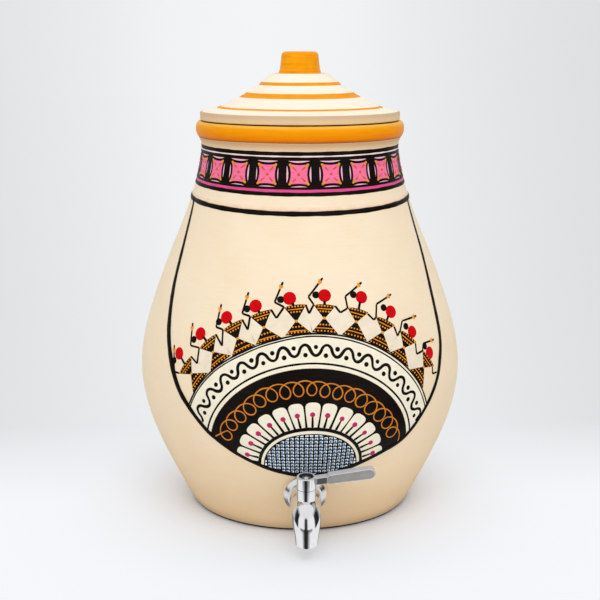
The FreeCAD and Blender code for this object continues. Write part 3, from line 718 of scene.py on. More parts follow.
MAGENTA = paint_material("magenta_paint", (206, 34, 104), (186, 22, 88), 0.36, 1.2)
BLUE = paint_material("blue_paint", (34, 122, 178), (16, 88, 146), 0.36, 1.2)
WHITE = paint_material("white_paint", (252, 254, 252), (236, 246, 248), 0.4, 1.2)
CHROME = metal_material("chrome", (236, 236, 238), (226, 227, 230), 0.07)
SOFT_CHROME = metal_material("soft_chrome", (226, 225, 224), (212, 211, 210), 0.17)
STEEL = metal_material("brushed_steel", (206, 206, 204), (186, 186, 184), 0.2, (6, 6, 0.6), 0.6)
BRASS = metal_material("brass", (214, 176, 98), (186, 146, 74), 0.28, (1, 1, 1), 0.9)
RUBBER = soft_material("black_rubber", (34, 34, 35), (44, 44, 45), 0.75)
PLASTIC = soft_material("white_plastic", (226, 226, 222), (216, 216, 210), 0.5)


def lever_material():
    """Polished round the valve, satin along the blade and dull in the blade's panel, with painted shade on
    the blade's shank and in the cap's dish, and a painted highlight on faces that look up the valve's axis.
    """
    surface = Surface("lever_metal", 0.3, metallic=1.0)
    offset = surface.vector("SUBTRACT", surface.place, VALVE_PLACE)
    away = surface.vector("LENGTH", surface.vector("CROSS_PRODUCT", offset, VALVE_AXIS))
    normal = surface.tree.nodes.new("ShaderNodeTexCoord").outputs["Normal"]
    # Faces that look up the valve's axis get a lighter grey: a painted highlight.
    top = surface.do("GREATER_THAN", surface.vector("DOT_PRODUCT", normal, VALVE_AXIS), 0.35)
    satin = surface.do("GREATER_THAN", away, POLISHED_RADIUS * MM)
    depth = surface.do("ADD", surface.vector("DOT_PRODUCT", offset, LEVER_FRONT), PANEL_PLACE * MM)
    panel = surface.do("LESS_THAN", surface.do("ABSOLUTE", depth), PANEL_HALF_DEPTH * MM)
    # The cap's dish and the blade's shank get a dark grey: painted shade.
    dish = surface.do("LESS_THAN", away, DISH_RADIUS * MM)
    shank = surface.do("MULTIPLY", satin, surface.do("LESS_THAN", away, SHANK_END * MM))
    clouds = surface.noise(9, detail=2)
    colour = surface.mixed(satin, linear(234, 234, 236), surface.ramp(clouds, LEVER_SATIN))
    colour = surface.mixed(panel, colour, surface.ramp(clouds, LEVER_PANEL))
    colour = surface.mixed(shank, colour, linear(*LEVER_SHADE))
    colour = surface.mixed(top, colour, linear(*LEVER_TOP_HIGHLIGHT))
    surface.colour(surface.mixed(dish, colour, linear(*LEVER_SHADE)))
    levels = (("Roughness", 0.07, 0.2, 0.4, 0.34, 0.3), ("Metallic", 1.0, 0.8, 0.15, 0.6, 0.9))
    for socket, polished, brushed, upper, dull, deep in levels:
        value = surface.mixed(satin, grey(polished), grey(brushed))
        value = surface.mixed(top, value, grey(upper))
        value = surface.mixed(panel, value, grey(dull))
        surface.feed(surface.shader, {socket: surface.mixed(dish, value, grey(deep))})
    surface.bump([(surface.noise(0.7, detail=6, roughness=0.7), 0.003)], 0.3)
    return surface.material


LEVER_METAL = lever_material()

FINISHES = {
    "tap_body": CHROME,
    "escutcheon": SOFT_CHROME,
    "lever": LEVER_METAL,
    "lever_screw": STEEL,
    "lock_washer": STEEL,
    "inner_washer": STEEL,
    "back_nut": BRASS,
    "gland_nut": BRASS,
    "valve_plug": BRASS,
    "outer_gasket": RUBBER,
    "inner_gasket": RUBBER,
    "lower_plug_seal": RUBBER,
    "upper_plug_seal": RUBBER,
    "thrust_washer": PLASTIC,
}
for node, finish in FINISHES.items():
    for place in frame["nodes"][node].material_slots:
        place.material = finish


# ---- clay under the coats

TAP_SEAT = np.array([0.0, -126.36, 43.55])
TAP_TILT = math.radians(13)
TAP_OUTWARD = np.array([0.0, -math.cos(TAP_TILT), -math.sin(TAP_TILT)])
TAP_BORE_RADIUS = 11.5
TAP_SEAT_DEPTH = 5.0
TAP_SEAT_REACH = 28.0
NEAR_COAT = 0.4
CHUNK = 2000


def tap_cylinder(points):
    """Each point's distance from the tap's axis, and its height above the seat's plane."""
    offset = points - TAP_SEAT
    height = offset @ TAP_OUTWARD
    return np.linalg.norm(offset - height[..., None] * TAP_OUTWARD, axis=-1), height


def sunk_core(name, node, outline, body, outside):
    """The clay itself, its coated faces sunk by the depth of the coats."""
    mesh = frame["nodes"][node].data.copy()
    mesh.name = name
    count = len(mesh.vertices)
    points = np.empty(count * 3, np.float32)
    mesh.vertices.foreach_get("co", points)
    points = points.reshape(-1, 3).astype(float) / MM
    r, z = np.hypot(points[:, 0], points[:, 1]), points[:, 2]
    coated = np.zeros(count, bool)
    for start in range(0, count, CHUNK):
        part = slice(start, start + CHUNK)
        gap = np.hypot(r[part, None] - outline.r[None], z[part, None] - outline.z[None])
        nearest = gap.argmin(axis=1)
        hit = gap[np.arange(len(nearest)), nearest] < NEAR_COAT
        coated[part] = hit
        way = np.stack([points[part, 0], points[part, 1]], axis=-1) / np.maximum(r[part, None], 1e-6)
        push = np.where(hit, CORE_DEPTH, 0.0)
        points[part, :2] -= way * (outline.nr[nearest] * push)[:, None]
        points[part, 2] -= outline.nz[nearest] * push
    radius, height = tap_cylinder(points)
    seat = (radius > TAP_BORE_RADIUS) & (radius < TAP_SEAT_REACH) & (height > -TAP_SEAT_DEPTH)
    painted = coated | (seat & (points[:, 1] < 0))
    mesh.vertices.foreach_set("co", (points * MM).astype(np.float32).ravel())
    mesh.materials.clear()
    mesh.materials.append(RAW)
    mesh.materials.append(outside)
    kinds = [int(all(painted[v] for v in p.vertices)) for p in mesh.polygons]
    mesh.polygons.foreach_set("material_index", kinds)
    mesh.update()
    core = bpy.data.objects.new(name, mesh)
    bpy.context.scene.collection.objects.link(core)
    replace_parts(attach(core, body), node)
    return core


def open_gap(core):
    """The gap between the lid's brim and the roll: the lid's clay there drawn in, and its faces coloured dark
    as painted shade.
    """
    for corner in core.data.vertices:
        radius, height = math.hypot(corner.co.x, corner.co.y) / MM, corner.co.z / MM
        if radius > LID_RADIUS - LID_GAP_REACH and height < LID_GAP_TOP:
            corner.co.x *= 1 - LID_GAP_DEPTH / radius
            corner.co.y *= 1 - LID_GAP_DEPTH / radius
    core.data.materials.append(SHADE_DARK_CLAY)
    for face in core.data.polygons:
        radius, height = math.hypot(face.center.x, face.center.y) / MM, face.center.z / MM
        if radius > LID_RADIUS - LID_GAP_REACH - 1 and height < LID_GAP_SHADE:
            face.material_index = 2


sunk_core("pot_clay_core", "pot_body", POT, "pot", CREAM)
# The lid's clay shows the lighter lid cream outside: painted light.
open_gap(sunk_core("lid_clay_core", "lid", LID, "lid", LIT_LID_CREAM))


# ---- coats on the pot


def opening_edge(spot, middle):
    """Where the flat line from the tap's middle to a spot leaves the tap's opening."""
    near, far = 0.0, 1.0
    for _ in range(30):
        share = (near + far) / 2
        radius, height = tap_cylinder(POT.place(*(middle + (spot - middle) * share), 0.0))
        inside = radius < TAP_HOLE_RADIUS + TAP_RECESS_SPREAD * max(float(height), 0.0)
        near, far = (share, far) if inside else (near, share)
    return middle + (spot - middle) * far


def pot_coat():
    """The cream slip from the foot to the roll, open round the tap's seat."""
    top = POT.along(ROLL_UNDERSIDE - 0.3)
    rows = np.linspace(0, top, int(top / WALL_STEP) + 1)
    points = list(coat_points(pot_skin, rows, SLIP_EDGE, SLIP_EDGE).reshape(-1, 3))
    low = int(np.searchsorted(rows, POT.along(TAP_PATCH_LOW)))
    high = int(np.searchsorted(rows, POT.along(TAP_PATCH_HIGH)))
    wide = TAP_PATCH_HALF_ANGLE
    faces = []
    for k, face in enumerate(grid_faces(len(rows), WALL_COLUMNS, closed=True)):
        row, column = divmod(k, WALL_COLUMNS)
        if not (low <= row < high and (column + wide) % WALL_COLUMNS < 2 * wide):
            faces.append(face)
    loop = [(row, -wide) for row in range(high, low, -1)]
    loop += [(low, column) for column in range(-wide, wide)]
    loop += [(row, wide) for row in range(low, high)]
    loop += [(high, column) for column in range(wide, -wide, -1)]
    before = [row * WALL_COLUMNS + column % WALL_COLUMNS for row, column in loop]
    spots = [np.array([math.radians(column) * BELLY_RADIUS, rows[row]]) for row, column in loop]
    middle = np.array([0.0, POT.along(TAP_SEAT[2])])
    edge = [opening_edge(spot, middle) for spot in spots]
    for ring in range(1, TAP_PATCH_RINGS + 1):
        share = (ring / TAP_PATCH_RINGS) ** 0.8
        flat = np.array([a + (b - a) * share for a, b in zip(spots, edge)])
        lift = -SLIP_EDGE if ring == TAP_PATCH_RINGS else 0.0
        after = list(range(len(points), len(points) + len(flat)))
        points.extend(pot_skin(flat[:, 0], flat[:, 1], lift))
        for k in range(len(flat)):
            n = (k + 1) % len(flat)
            faces.append((before[k], before[n], after[n], after[k]))
        before = after
    return mesh_object("pot_slip_coat", points, faces, CREAM, "pot")


def foot_skin(across, s, lift):
    return pot_skin(across, s, lift + FOOT_LIFT)


def rim_skin(across, s, lift):
    return pot_skin(across, s, lift + RIM_LIFT)


FOOT_LINE = 3.1
FOOT_LIFT = 0.05
RIM_LIFT = 0.06
pot_coat()
# The lowest band of the foot is bare clay, coloured dark as painted contact shade where the pot meets the
# floor.
foot_rows = np.linspace(POT.along(FOOT_EDGE + 0.1), POT.along(FOOT_LINE), 5)
turned_coat("foot_bare_clay_contact_shade", foot_skin, foot_rows, SHADE_DARK_CLAY, "pot", 0.3, 0.3)
roll_start = POT.along(ROLL_UNDERSIDE - 0.6)
roll_rows = np.linspace(roll_start, POT.s[-1], int((POT.s[-1] - roll_start) / 0.6))
# The roll's coat carries a painted highlight on top and painted shade below.
turned_coat("pot_rim_paint", rim_skin, roll_rows, RIM_LIT_ORANGE, "pot", 0.5)


# ---- rings round the neck

LAYER = 0.09


def paint_on(level, thickness=0.1):
    """Paint on the pot, on top of so many layers."""
    return Paint(thickness, level * LAYER)


# How far a neck ring sags at the front, by its height.
NECK_SAG = ([SHOULDER_RING, 299.2, 332.3], [SHOULDER_SAG, 2.9, 1.0])


def neck(turn, height):
    """A flat place on the neck, on a ring of that height at the front."""
    angle = math.radians(turn)
    return (angle * BELLY_RADIUS, POT.along(height + np.interp(height, *NECK_SAG) * settled(angle)))


def neck_ring(paint, height, width):
    paint.stroke([neck(turn, height) for turn in np.arange(-181, 181.1, 1.5)], width, uneven=0.06)


def neck_band(name, material, level, thickness, low, high, rows):
    """A painted band all round, between two heights."""
    band = paint_on(level, thickness)
    turns = np.arange(-180, 180.1, 1.5)
    band.sheet([[neck(turn, height) for turn in turns] for height in np.linspace(low, high, rows)])
    band.finish(name, material)


neck_band("neck_pale_pink_band", PALE_PINK, 0, 0.08, 303.4, 331.4, 12)
neck_band("neck_pale_line", BLUSH, 1, 0.08, 327.6, 331.2, 3)
neck_band("neck_pink_stripe", STRIPE_PINK, 0, 0.1, 299.2, 303.4, 4)
neck_lines = paint_on(2, 0.16)
for height, width in ((332.1, 3.0), (327.8, 2.8), (303.6, 1.9), (298.6, 3.0)):
    neck_ring(neck_lines, height, width)
neck_lines.finish("neck_black_rings", BLACK)
# Two pale-brown bands just above the shoulder ring: painted shade along the ring's upper edge.
for number, (width, tint) in enumerate(((3.6, (251, 224, 194)), (1.8, (244, 208, 174)))):
    shade_slip = paint_material("shoulder_shade_slip_" + str(number + 1), tint, tint, 0.55)
    low, high = SHOULDER_RING + 1, SHOULDER_RING + 2 + width
    neck_band("shoulder_shade_" + str(number + 1), shade_slip, number * 0.5, 0.06, low, high, 4)
shoulder = paint_on(1, 0.2)
neck_ring(shoulder, SHOULDER_RING, SHOULDER_RING_WIDTH)
shoulder.finish("shoulder_black_ring", BLACK)

neck_bars, squares, square_lines = paint_on(1.5), paint_on(1), paint_on(2, 0.14)
marks, rust_marks = paint_on(4, 0.14), paint_on(3, 0.14)
BAR_HALF = 2.2
BAR_LOW, BAR_HIGH = 303.6, 327.8
BAR_FLARE = 0.3
SQUARE_HALF = 6.0
SQUARE_LOW, SQUARE_HIGH = 305.6, 324.7
SQUARE_BOW = 0.15
SQUARE_OVERLAP = 1.06


def square_point(middle, x, y):
    """A place in a panel's square, whose corners are at plus and minus one and whose sides bow in."""
    pull = (SQUARE_BOW * (1 - y * y), SQUARE_BOW * (1 - x * x))
    height = (SQUARE_LOW + SQUARE_HIGH) / 2 + (SQUARE_HIGH - SQUARE_LOW) / 2 * y * (1 - pull[1])
    return neck(middle + SQUARE_HALF * x * (1 - 1.5 * pull[0]), height)


def neck_bar(turn):
    """A black bar between two squares, wider at its ends."""
    rows = []
    for height in np.linspace(BAR_LOW, BAR_HIGH, 9):
        flare = 1 + BAR_FLARE * abs((height - 315.7) / 11.5) ** 3
        rows.append([neck(turn + BAR_HALF * flare * share, height) for share in np.linspace(-1, 1, 5)])
    neck_bars.sheet(rows)


def neck_square(middle):
    """A pink square with bowed sides and a black outline."""
    side = np.linspace(-1, 1, 9)
    low, high = 0 * side - 1, 0 * side + 1
    edge = []
    for x_of, y_of in ((side, low), (high, side), (-side, high), (low, -side)):
        edge += [square_point(middle, x, y) for x, y in zip(x_of[:-1], y_of[:-1])]
    squares.fill(edge)
    for x_of, y_of in ((side, low), (side, high), (low, side), (high, side)):
        line = [square_point(middle, x * SQUARE_OVERLAP, y * SQUARE_OVERLAP) for x, y in zip(x_of, y_of)]
        square_lines.stroke(line, 1.9, step=0.8)


def square_stroke(paint, middle, start, end, width):
    """A short brush line inside a square."""
    paint.stroke([square_point(middle, *start), square_point(middle, *end)], width, step=0.6)


def neck_marks(middle):
    """An arrow in each corner of a square, orange with a rust tail, and a dot in the middle."""
    for sx in (-1, 1):
        for sy in (-1, 1):
            inner = (rng.uniform(0.2, 0.34) * sx, rng.uniform(0.3, 0.44) * sy)
            tip, half_way = (0.9 * sx, 0.93 * sy), (0.62 * sx, 0.68 * sy)
            square_stroke(marks, middle, tip, half_way, [2.2, 1.5, 0.8])
            square_stroke(rust_marks, middle, half_way, inner, [1.3, 0.7])
            for side_tip in ((0.62 * sx, 0.86 * sy), (0.82 * sx, 0.66 * sy)):
                square_stroke(marks, middle, tip, side_tip, [1.6, 0.5])
    rust_marks.spot(*square_point(middle, rng.uniform(-0.05, 0.05), rng.uniform(-0.05, 0.05)), 1.15)


for panel in range(NECK_PANELS):
    pitch = 360 / NECK_PANELS
    middle = (NECK_FIRST_PANEL + pitch * panel + 180) % 360 - 180
    neck_bar(middle + pitch / 2 + rng.uniform(-0.25, 0.25))
    neck_square(middle)
    neck_marks(middle)
neck_bars.finish("neck_black_bars", BLACK)
squares.finish("neck_pink_squares", HOT_PINK)
square_lines.finish("neck_square_outlines", BLACK)
marks.finish("neck_orange_marks", LINE_ORANGE)
rust_marks.finish("neck_rust_marks", RUST)


# ---- the panel on the front

LEFT_EDGE = [(-73.9, 289.0), (-66.4, 249), (-61.5, 211), (-56.4, 177.4), (-51.1, 151.4), (-46.6, 131.7)]
LEFT_EDGE += [(-41.9, 117.5), (-37.5, 105.4), (-33.5, 95.9), (-25.7, 83), (-16.5, 72.2), (-8.5, 66.2)]
LOW_EDGE = [(-2.4, 63.4), (1.85, 62.7), (6.1, 63.4), (12.2, 66.2), (19.2, 71.7)]
RIGHT_EDGE = [(28.4, 80.2), (37.3, 89.8), (45.9, 113.4), (51.8, 134.6), (54.7, 150), (58, 171.2), (61.2, 210)]
RIGHT_EDGE += [(67.7, 253.6), (73.2, 287.2)]
PANEL = smooth_line([at(*place) for place in LEFT_EDGE + LOW_EDGE + RIGHT_EDGE], 1.5)
FAN_MIDDLE = math.radians(FAN_ANGLE) * BELLY_RADIUS
FAN_BASE = POT.along(FAN_HEIGHT)


def widened(turn, rho):
    """How much wider than a circle the fan is drawn, by the turn from its middle and the radius."""
    return 1 + FAN_SPREAD * (FAN_SPREAD_RADIUS / rho) ** FAN_SPREAD_FALL * math.sin(turn) ** 2


def fan(angle, rho):
    """A flat place on the front, by its angle and radius in the fan of painted rings."""
    turn = math.radians(angle)
    r = rho * widened(turn, rho)
    return (FAN_MIDDLE + r * math.sin(turn), FAN_BASE + r * math.cos(turn))


def inside_panel(u, s):
    """Whether a flat place is inside the panel's outline."""
    x, y = PANEL[:, 0], PANEL[:, 1]
    next_x, next_y = np.roll(x, -1), np.roll(y, -1)
    crosses = (y > s) != (next_y > s)
    rise = np.where(crosses, next_y - y, 1.0)
    return bool(np.count_nonzero(crosses & (u < x + (s - y) * (next_x - x) / rise)) % 2)


def reach(rho):
    """The angles at which a ring of the fan meets the panel's edge, left and right."""
    ends = []
    for side in (-1, 1):
        angle = 0.0
        while angle < 125 and inside_panel(*fan(side * angle, rho)):
            angle += 0.2
        ends.append(side * angle)
    return ends


def fan_sheet(paint, outer, inner, pitch=2.5):
    """A filled ring of the fan, from edge to edge of the panel."""
    rows = []
    widest = 2 + int(2.4 * outer / pitch)
    for rho in np.linspace(outer, inner, max(2, 1 + int((outer - inner) / pitch))):
        left, right = reach(rho)
        rows.append([fan(angle, rho) for angle in np.linspace(left, right, widest)])
    paint.sheet(rows)


def fan_ring(paint, rho_of, width):
    """A line along the fan, from edge to edge of the panel."""
    left, right = reach(rho_of(0))
    paint.stroke([fan(angle, rho_of(angle)) for angle in np.arange(left, right, 0.8)], width, uneven=0.06)


outline_paint = paint_on(4, 0.18)
thick = [3.6, 4.6, 5.4, 5.4, 3.9, 3.3, 4.0, 3.9, 3.4, 4.4, 5.0, 4.2, 3.4]
outline_paint.stroke(PANEL, thick)
outline_paint.finish("panel_outline", BLACK)

cream_band = paint_on(0, 0.08)
fan_sheet(cream_band, FEET_LINE, GROUND_RADIUS - 0.3)
cream_band.finish("fan_pale_band", BRIGHT)
black_ground = paint_on(0.5, 0.1)
fan_sheet(black_ground, GROUND_RADIUS, 33.5)
black_ground.finish("fan_black_ground", BLACK)

# How much lower than the feet line the hems are, and how far the second ring is from them, by the
# angle.
HEM_DROP = ([-60, -45, -30, -15, 0, 15], [0.0, 0.5, 2.3, 2.0, 0.5, 0.0])
RING_GAP = ([-50, 0, 42], [1.8, 2.1, 2.9])


def hem(angle):
    """The radius at which the dancers' dresses end, a little lower on the left."""
    return FEET_LINE - float(np.interp(angle, *HEM_DROP))


fan_lines = paint_on(1, 0.14)
fan_ring(fan_lines, hem, 1.4)
fan_ring(fan_lines, lambda angle: hem(angle) - float(np.interp(angle, *RING_GAP)), 1.15)
fan_ring(fan_lines, lambda angle: INNER_LINE, 1.6)
fan_lines.finish("fan_black_rings", BLACK)

wave, wave_dots = paint_on(1, 0.16), paint_on(1, 0.18)
left, right = reach(WAVE_RADIUS)
WAVE_TROUGH = -38.5
line = []
for turn in np.arange(left + 0.6, right - 0.4, 0.4):
    swing = math.cos(2 * math.pi * (turn - WAVE_TROUGH) / WAVE_PITCH)
    line.append(fan(turn, WAVE_RADIUS - WAVE_HEIGHT * math.copysign(abs(swing) ** WAVE_ROUNDNESS, swing)))
wave.stroke(smooth_line(line[::2], 0.8), 2.5, step=0.8, uneven=0.09)
wave.finish("fan_wave", BLACK)
for step in range(-4, 13):
    for shift, rho in ((0.0, WAVE_RADIUS + 2.3), (0.5, WAVE_RADIUS - 3.9)):
        angle = WAVE_TROUGH + (step + shift) * WAVE_PITCH + rng.uniform(-0.35, 0.35)
        if left + 1.5 < angle < right - 1.5:
            wave_dots.spot(*fan(angle, rho + rng.uniform(-0.4, 0.4)), rng.uniform(1.75, 2.05))
wave_dots.finish("fan_wave_dots", BLACK)

loops = paint_on(2, 0.16)
LOOP_PITCH = 8.6
LOOP_START, LOOP_COUNT = -71.0, 17
# The loops' middle radius and half height by the angle, both a little uneven.
LOOP_ANGLES = [-75, -55, -45, -25, -10, 5, 25, 45, 60, 75]
LOOP_RADII = (LOOP_ANGLES, [78.1, 77.1, 75.6, 77.4, 75.9, 75.0, 74.9, 74.4, 75.8, 77.6])
LOOP_SIZES = ([-60, -25, 0, 20, 45, 70], [6.6, 6.9, 6.1, 6.3, 7.4, 6.8])
left, right = reach(LOOP_RADIUS)
line = [fan(-75.8, 83.0), fan(-75.4, 86.0), fan(-73.2, 87.2)]
for t in np.arange(math.pi / 2, 2 * math.pi * LOOP_COUNT + 1.2, 0.16):
    turn = LOOP_START + LOOP_PITCH * t / (2 * math.pi) - LOOP_PITCH / 4
    radius, tall = np.interp(turn, *LOOP_RADII), np.interp(turn, *LOOP_SIZES)
    angle = turn + math.degrees((tall + 0.6) * math.sin(t) / radius)
    rho = radius + tall * math.cos(t) + 0.5 * math.sin(t / 3.7)
    if left + 0.5 < angle < right - 0.5:
        line.append(fan(angle, rho))
loops.stroke(line, 1.05, step=0.7, uneven=0.1)
loops.finish("fan_orange_loops", DULL_ORANGE)

# A petal's radii: its foot, where it is widest, and where its round end starts.
PETAL_FOOT, PETAL_BELLY, PETAL_SHOULDER = 41.7, 52, 57.5
petals, stems, petal_dots = paint_on(2), paint_on(3, 0.12), paint_on(3, 0.2)
for i in range(-6, 7):
    middle = 1.0 + PETAL_PITCH * i * (1 - 0.009 * abs(i)) + rng.uniform(-0.3, 0.3)
    half = PETAL_PITCH / 2 * (1 - 0.018 * abs(i)) - 0.8
    edge = [(-half * 0.9, PETAL_FOOT), (-half * 0.95, 46), (-half, PETAL_BELLY)]
    for t in np.linspace(0, math.pi, 15):
        bow = math.copysign(abs(math.cos(t)) ** 0.7, math.cos(t))
        edge.append((-half * bow, PETAL_SHOULDER + (PETAL_TIP - PETAL_SHOULDER) * math.sin(t) ** 0.65))
    edge += [(half, PETAL_BELLY), (half * 0.95, 46), (half * 0.9, PETAL_FOOT)]
    petals.fill([fan(middle + turn, rho) for turn, rho in edge], fan(middle, 51))
    bend = rng.uniform(-0.5, 0.5)
    stem = [fan(middle, 41.5), fan(middle + bend * 0.5, 47), fan(middle + bend, 52)]
    stems.stroke(stem, [2.3, 1.8, 1.4], step=0.8)
    petal_dots.spot(*fan(middle + bend, 53.2), rng.uniform(2.15, 2.45))
petals.finish("fan_petals", BRIGHT)
stems.finish("fan_petal_stems", BLACK)
petal_dots.finish("fan_petal_dots", MAGENTA)
hub_ring = paint_on(2)
fan_sheet(hub_ring, HUB_RING_RADIUS, HUB_RADIUS, 1.2)
hub_ring.finish("fan_hub_ring", BRIGHT)

check_ground, check_white, check_blue = paint_on(1), paint_on(2), paint_on(3)
left, right = reach(HUB_RADIUS)
edge = [fan(angle, HUB_RADIUS) for angle in np.linspace(left, right, 60)]
start, end = np.array(edge[0]), np.array(edge[-1])
low = [p for p in PANEL if start[0] < p[0] < end[0] and p[1] < max(start[1], end[1])]
edge += [tuple(p) for p in reversed(low)]
shares = (1, 0.97, 0.9, 0.8, 0.7, 0.6, 0.5, 0.4, 0.3, 0.2, 0.1)
check_ground.fill(edge, (FAN_MIDDLE, FAN_BASE + 10), rings=shares)
CELL_WIDE, CELL_TALL = 4.2, 3.4
CELL = [(-1, -0.8), (-0.8, -1), (0.8, -1), (1, -0.8), (1, 0.8), (0.8, 1), (-0.8, 1), (-1, 0.8)]


def inside_hub(points, limit):
    """Points drawn in towards the hub's middle until none is beyond the limit."""
    kept = []
    for u, s in points:
        share = min(1, limit / math.hypot(u - FAN_MIDDLE, s - FAN_BASE))
        kept.append((FAN_MIDDLE + (u - FAN_MIDDLE) * share, FAN_BASE + (s - FAN_BASE) * share))
    return kept


def check_cell(paint, u, s, half_wide, half_tall, limit):
    """A small square with cut corners, kept inside the hub."""
    corners = inside_hub([(u + x * half_wide, s + y * half_tall) for x, y in CELL], limit)
    paint.fill(corners, tuple(np.mean(corners, axis=0)), rings=(1, 0.8, 0.4))


for column in range(-11, 12):
    for row in range(-4, 12):
        u = FAN_MIDDLE + column * CELL_WIDE + rng.uniform(-0.15, 0.15)
        s = FAN_BASE + row * CELL_TALL + rng.uniform(-0.12, 0.12)
        away = math.hypot(u - FAN_MIDDLE, s - FAN_BASE)
        limit = (HUB_RADIUS - 1.0) * widened(math.atan2(u - FAN_MIDDLE, s - FAN_BASE), HUB_RADIUS - 0.5)
        if away > limit + 0.9 or not inside_panel(u, s):
            continue
        check_cell(check_white, u, s, 1.55, 1.22, limit)
        lean = (rng.uniform(-0.45, -0.1), rng.uniform(-0.35, -0.05))
        if away <= limit - 0.8:
            check_cell(check_blue, u + lean[0], s + lean[1], 0.98, 0.84, limit)
check_ground.finish("check_black_ground", BLACK)
check_white.finish("check_white_cells", WHITE)
check_blue.finish("check_blue_cells", BLUE)


# ---- dancers

WAISTS = [-54.5, -41.7, -30.3, -18.9, -5.8, 5.4, 18.4, 30.1, 41.2, 53.8]
HEADS = [(-54.1, 157.5), (-43.1, 154.9), (-31.7, 153.3), (-20.3, 152), (-7.6, 151.7)]
HEADS += [(5.3, 153.2), (19.1, 157.6), (31.4, 156), (42.2, 151.9), (53.1, 150.6)]
WAIST_RADIUS = 134.5
# How far each dancer's waist is drawn above that radius.
WAIST_RISE = [-0.7, -1.3, -2.8, -2.3, -2.5, -0.3, 1.1, 0.6, -0.6, 0.7]
# Each dancer's raised elbow and wrist, and the low point of the arms joined with the next dancer,
# as an angle and a rise from the dancer's place on the waist radius.
RAISED = [((-5.4, 16.4), (-0.9, 29.6)), ((-6.8, 18.6), (-3.6, 30.1)), ((-6.3, 16.3), (-2.9, 27.9))]
RAISED += [((-6.8, 15.6), (-3.9, 26.8)), ((-7.4, 16.3), (-4.6, 27.5)), ((-6.1, 17.3), (-2.0, 29.6))]
RAISED += [((-5.4, 20.3), (-1.0, 32.2)), ((-4.9, 21.9), (-1.0, 33.0)), ((-4.4, 19.8), (-0.4, 30.2))]
RAISED += [((-5.2, 16.9), (-2.3, 26.6))]
JOINED = [(4.6, 1.2), (4.5, -1.5), (5.0, 0.4), (5.5, 2.6), (5.2, 3.2)]
JOINED += [(6.2, 5.8), (7.0, 7.6), (6.7, 4.8), (6.6, 3.4)]
gaps, bodies, beads = paint_on(0, 0.08), paint_on(1), paint_on(2, 0.16)
arms, heads, buns, hands = paint_on(1, 0.16), paint_on(1, 0.22), paint_on(1, 0.18), paint_on(2, 0.18)


def around(i, turn, rise):
    """A flat place by its angle and rise from a dancer's place on the waist radius."""
    return fan(WAISTS[i] + turn, WAIST_RADIUS + rise)


def waist(i, turn=0.0):
    """A flat place at the height of a dancer's own waist."""
    return around(i, turn, WAIST_RISE[i])


def bead_row(i, rise, left, right, count):
    for k in range(count):
        turn = left + (right - left) * (k + 0.5) / count
        beads.spot(*around(i, turn, rise), 0.76 * rng.uniform(0.88, 1.1))


def dress(i):
    """Two black triangles that meet at the waist, with rows of orange beads and lines."""
    lift = 1.2 if i > 5 else 0.0
    drop = FEET_LINE - hem(WAISTS[i])
    middle = (WAIST_RISE[i] - drop) / 2
    top = [(-4.2, 10.4 + lift / 2)]
    top += [(turn, rise + lift) for turn, rise in ((-2.2, 11.1), (0, 11.4), (2.1, 11.3), (4.2, 10.9))]
    bodies.fill([waist(i, -0.3), *[around(i, *p) for p in top], waist(i, 0.3)], around(i, 0, 7))
    hem_line = ((6.2, -12), (3, -12.4), (0, -12.6), (-2.6, -12.4), (-5.2, -12))
    foot = [(turn, rise - drop) for turn, rise in hem_line]
    bodies.fill([waist(i, 0.3), *[around(i, *p) for p in foot], waist(i, -0.3)], around(i, 0.2, -8 - drop))
    bead_row(i, 9.9 + lift, -4.0, 4.0, 7)
    beads.stroke([around(i, -2.9, 7.6 + lift / 2), around(i, 3.0, 7.7 + lift / 2)], 0.8, step=0.8)
    bead_row(i, 5.3, -2.2, 2.2, 4)
    beads.spot(*waist(i), 1.25)
    bead_row(i, middle - 5.4, -2.2, 2.8, 4)
    low_line = middle - drop / 2 - 8.1
    beads.stroke([around(i, turn, low_line) for turn in (-3.4, 0, 4.0)], 0.8, step=0.8)
    bead_row(i, -10.6 - drop, -4.5, 5.3, 7)


def head(i):
    """A red head with a black bun behind it, on a black neck."""
    turn, rho = HEADS[i]
    size = 5.15 + rng.uniform(-0.15, 0.15)
    heads.spot(*fan(turn, rho), size)
    buns.spot(*fan(turn - 3.25 * 152 / rho, rho + 0.2), 2.85)
    neck_line = [around(i, (turn - WAISTS[i]) * 0.25, 10.5), fan(turn * 0.6 + WAISTS[i] * 0.4, rho - 3.5)]
    arms.stroke(neck_line, 2.1, step=0.8)


def raised_arm(i):
    """An arm bent up beside the head, with an orange hand and a black finger."""
    elbow, wrist = (np.array(around(i, *place)) for place in RAISED[i])
    away = (wrist - elbow) / np.hypot(*(wrist - elbow))
    across = np.array([-away[1], away[0]])
    arms.stroke([around(i, -4.1, 10.6), elbow], 1.6, step=0.8)
    arms.stroke([elbow, wrist], 1.6, step=0.8)
    arms.stroke([wrist + away * 1.2, wrist + away * 5.2], 1.7, step=0.8)
    for lean, length in ((0.0, 2.2), (0.8, 2.4), (-0.8, 2.4), (0.3, -1.8), (-0.3, -1.8)):
        tip = wrist + away * length * (1 - 0.3 * abs(lean)) + across * lean * 2.3
        hands.stroke([wrist - away * 0.4, tip], 1.4, step=0.5)


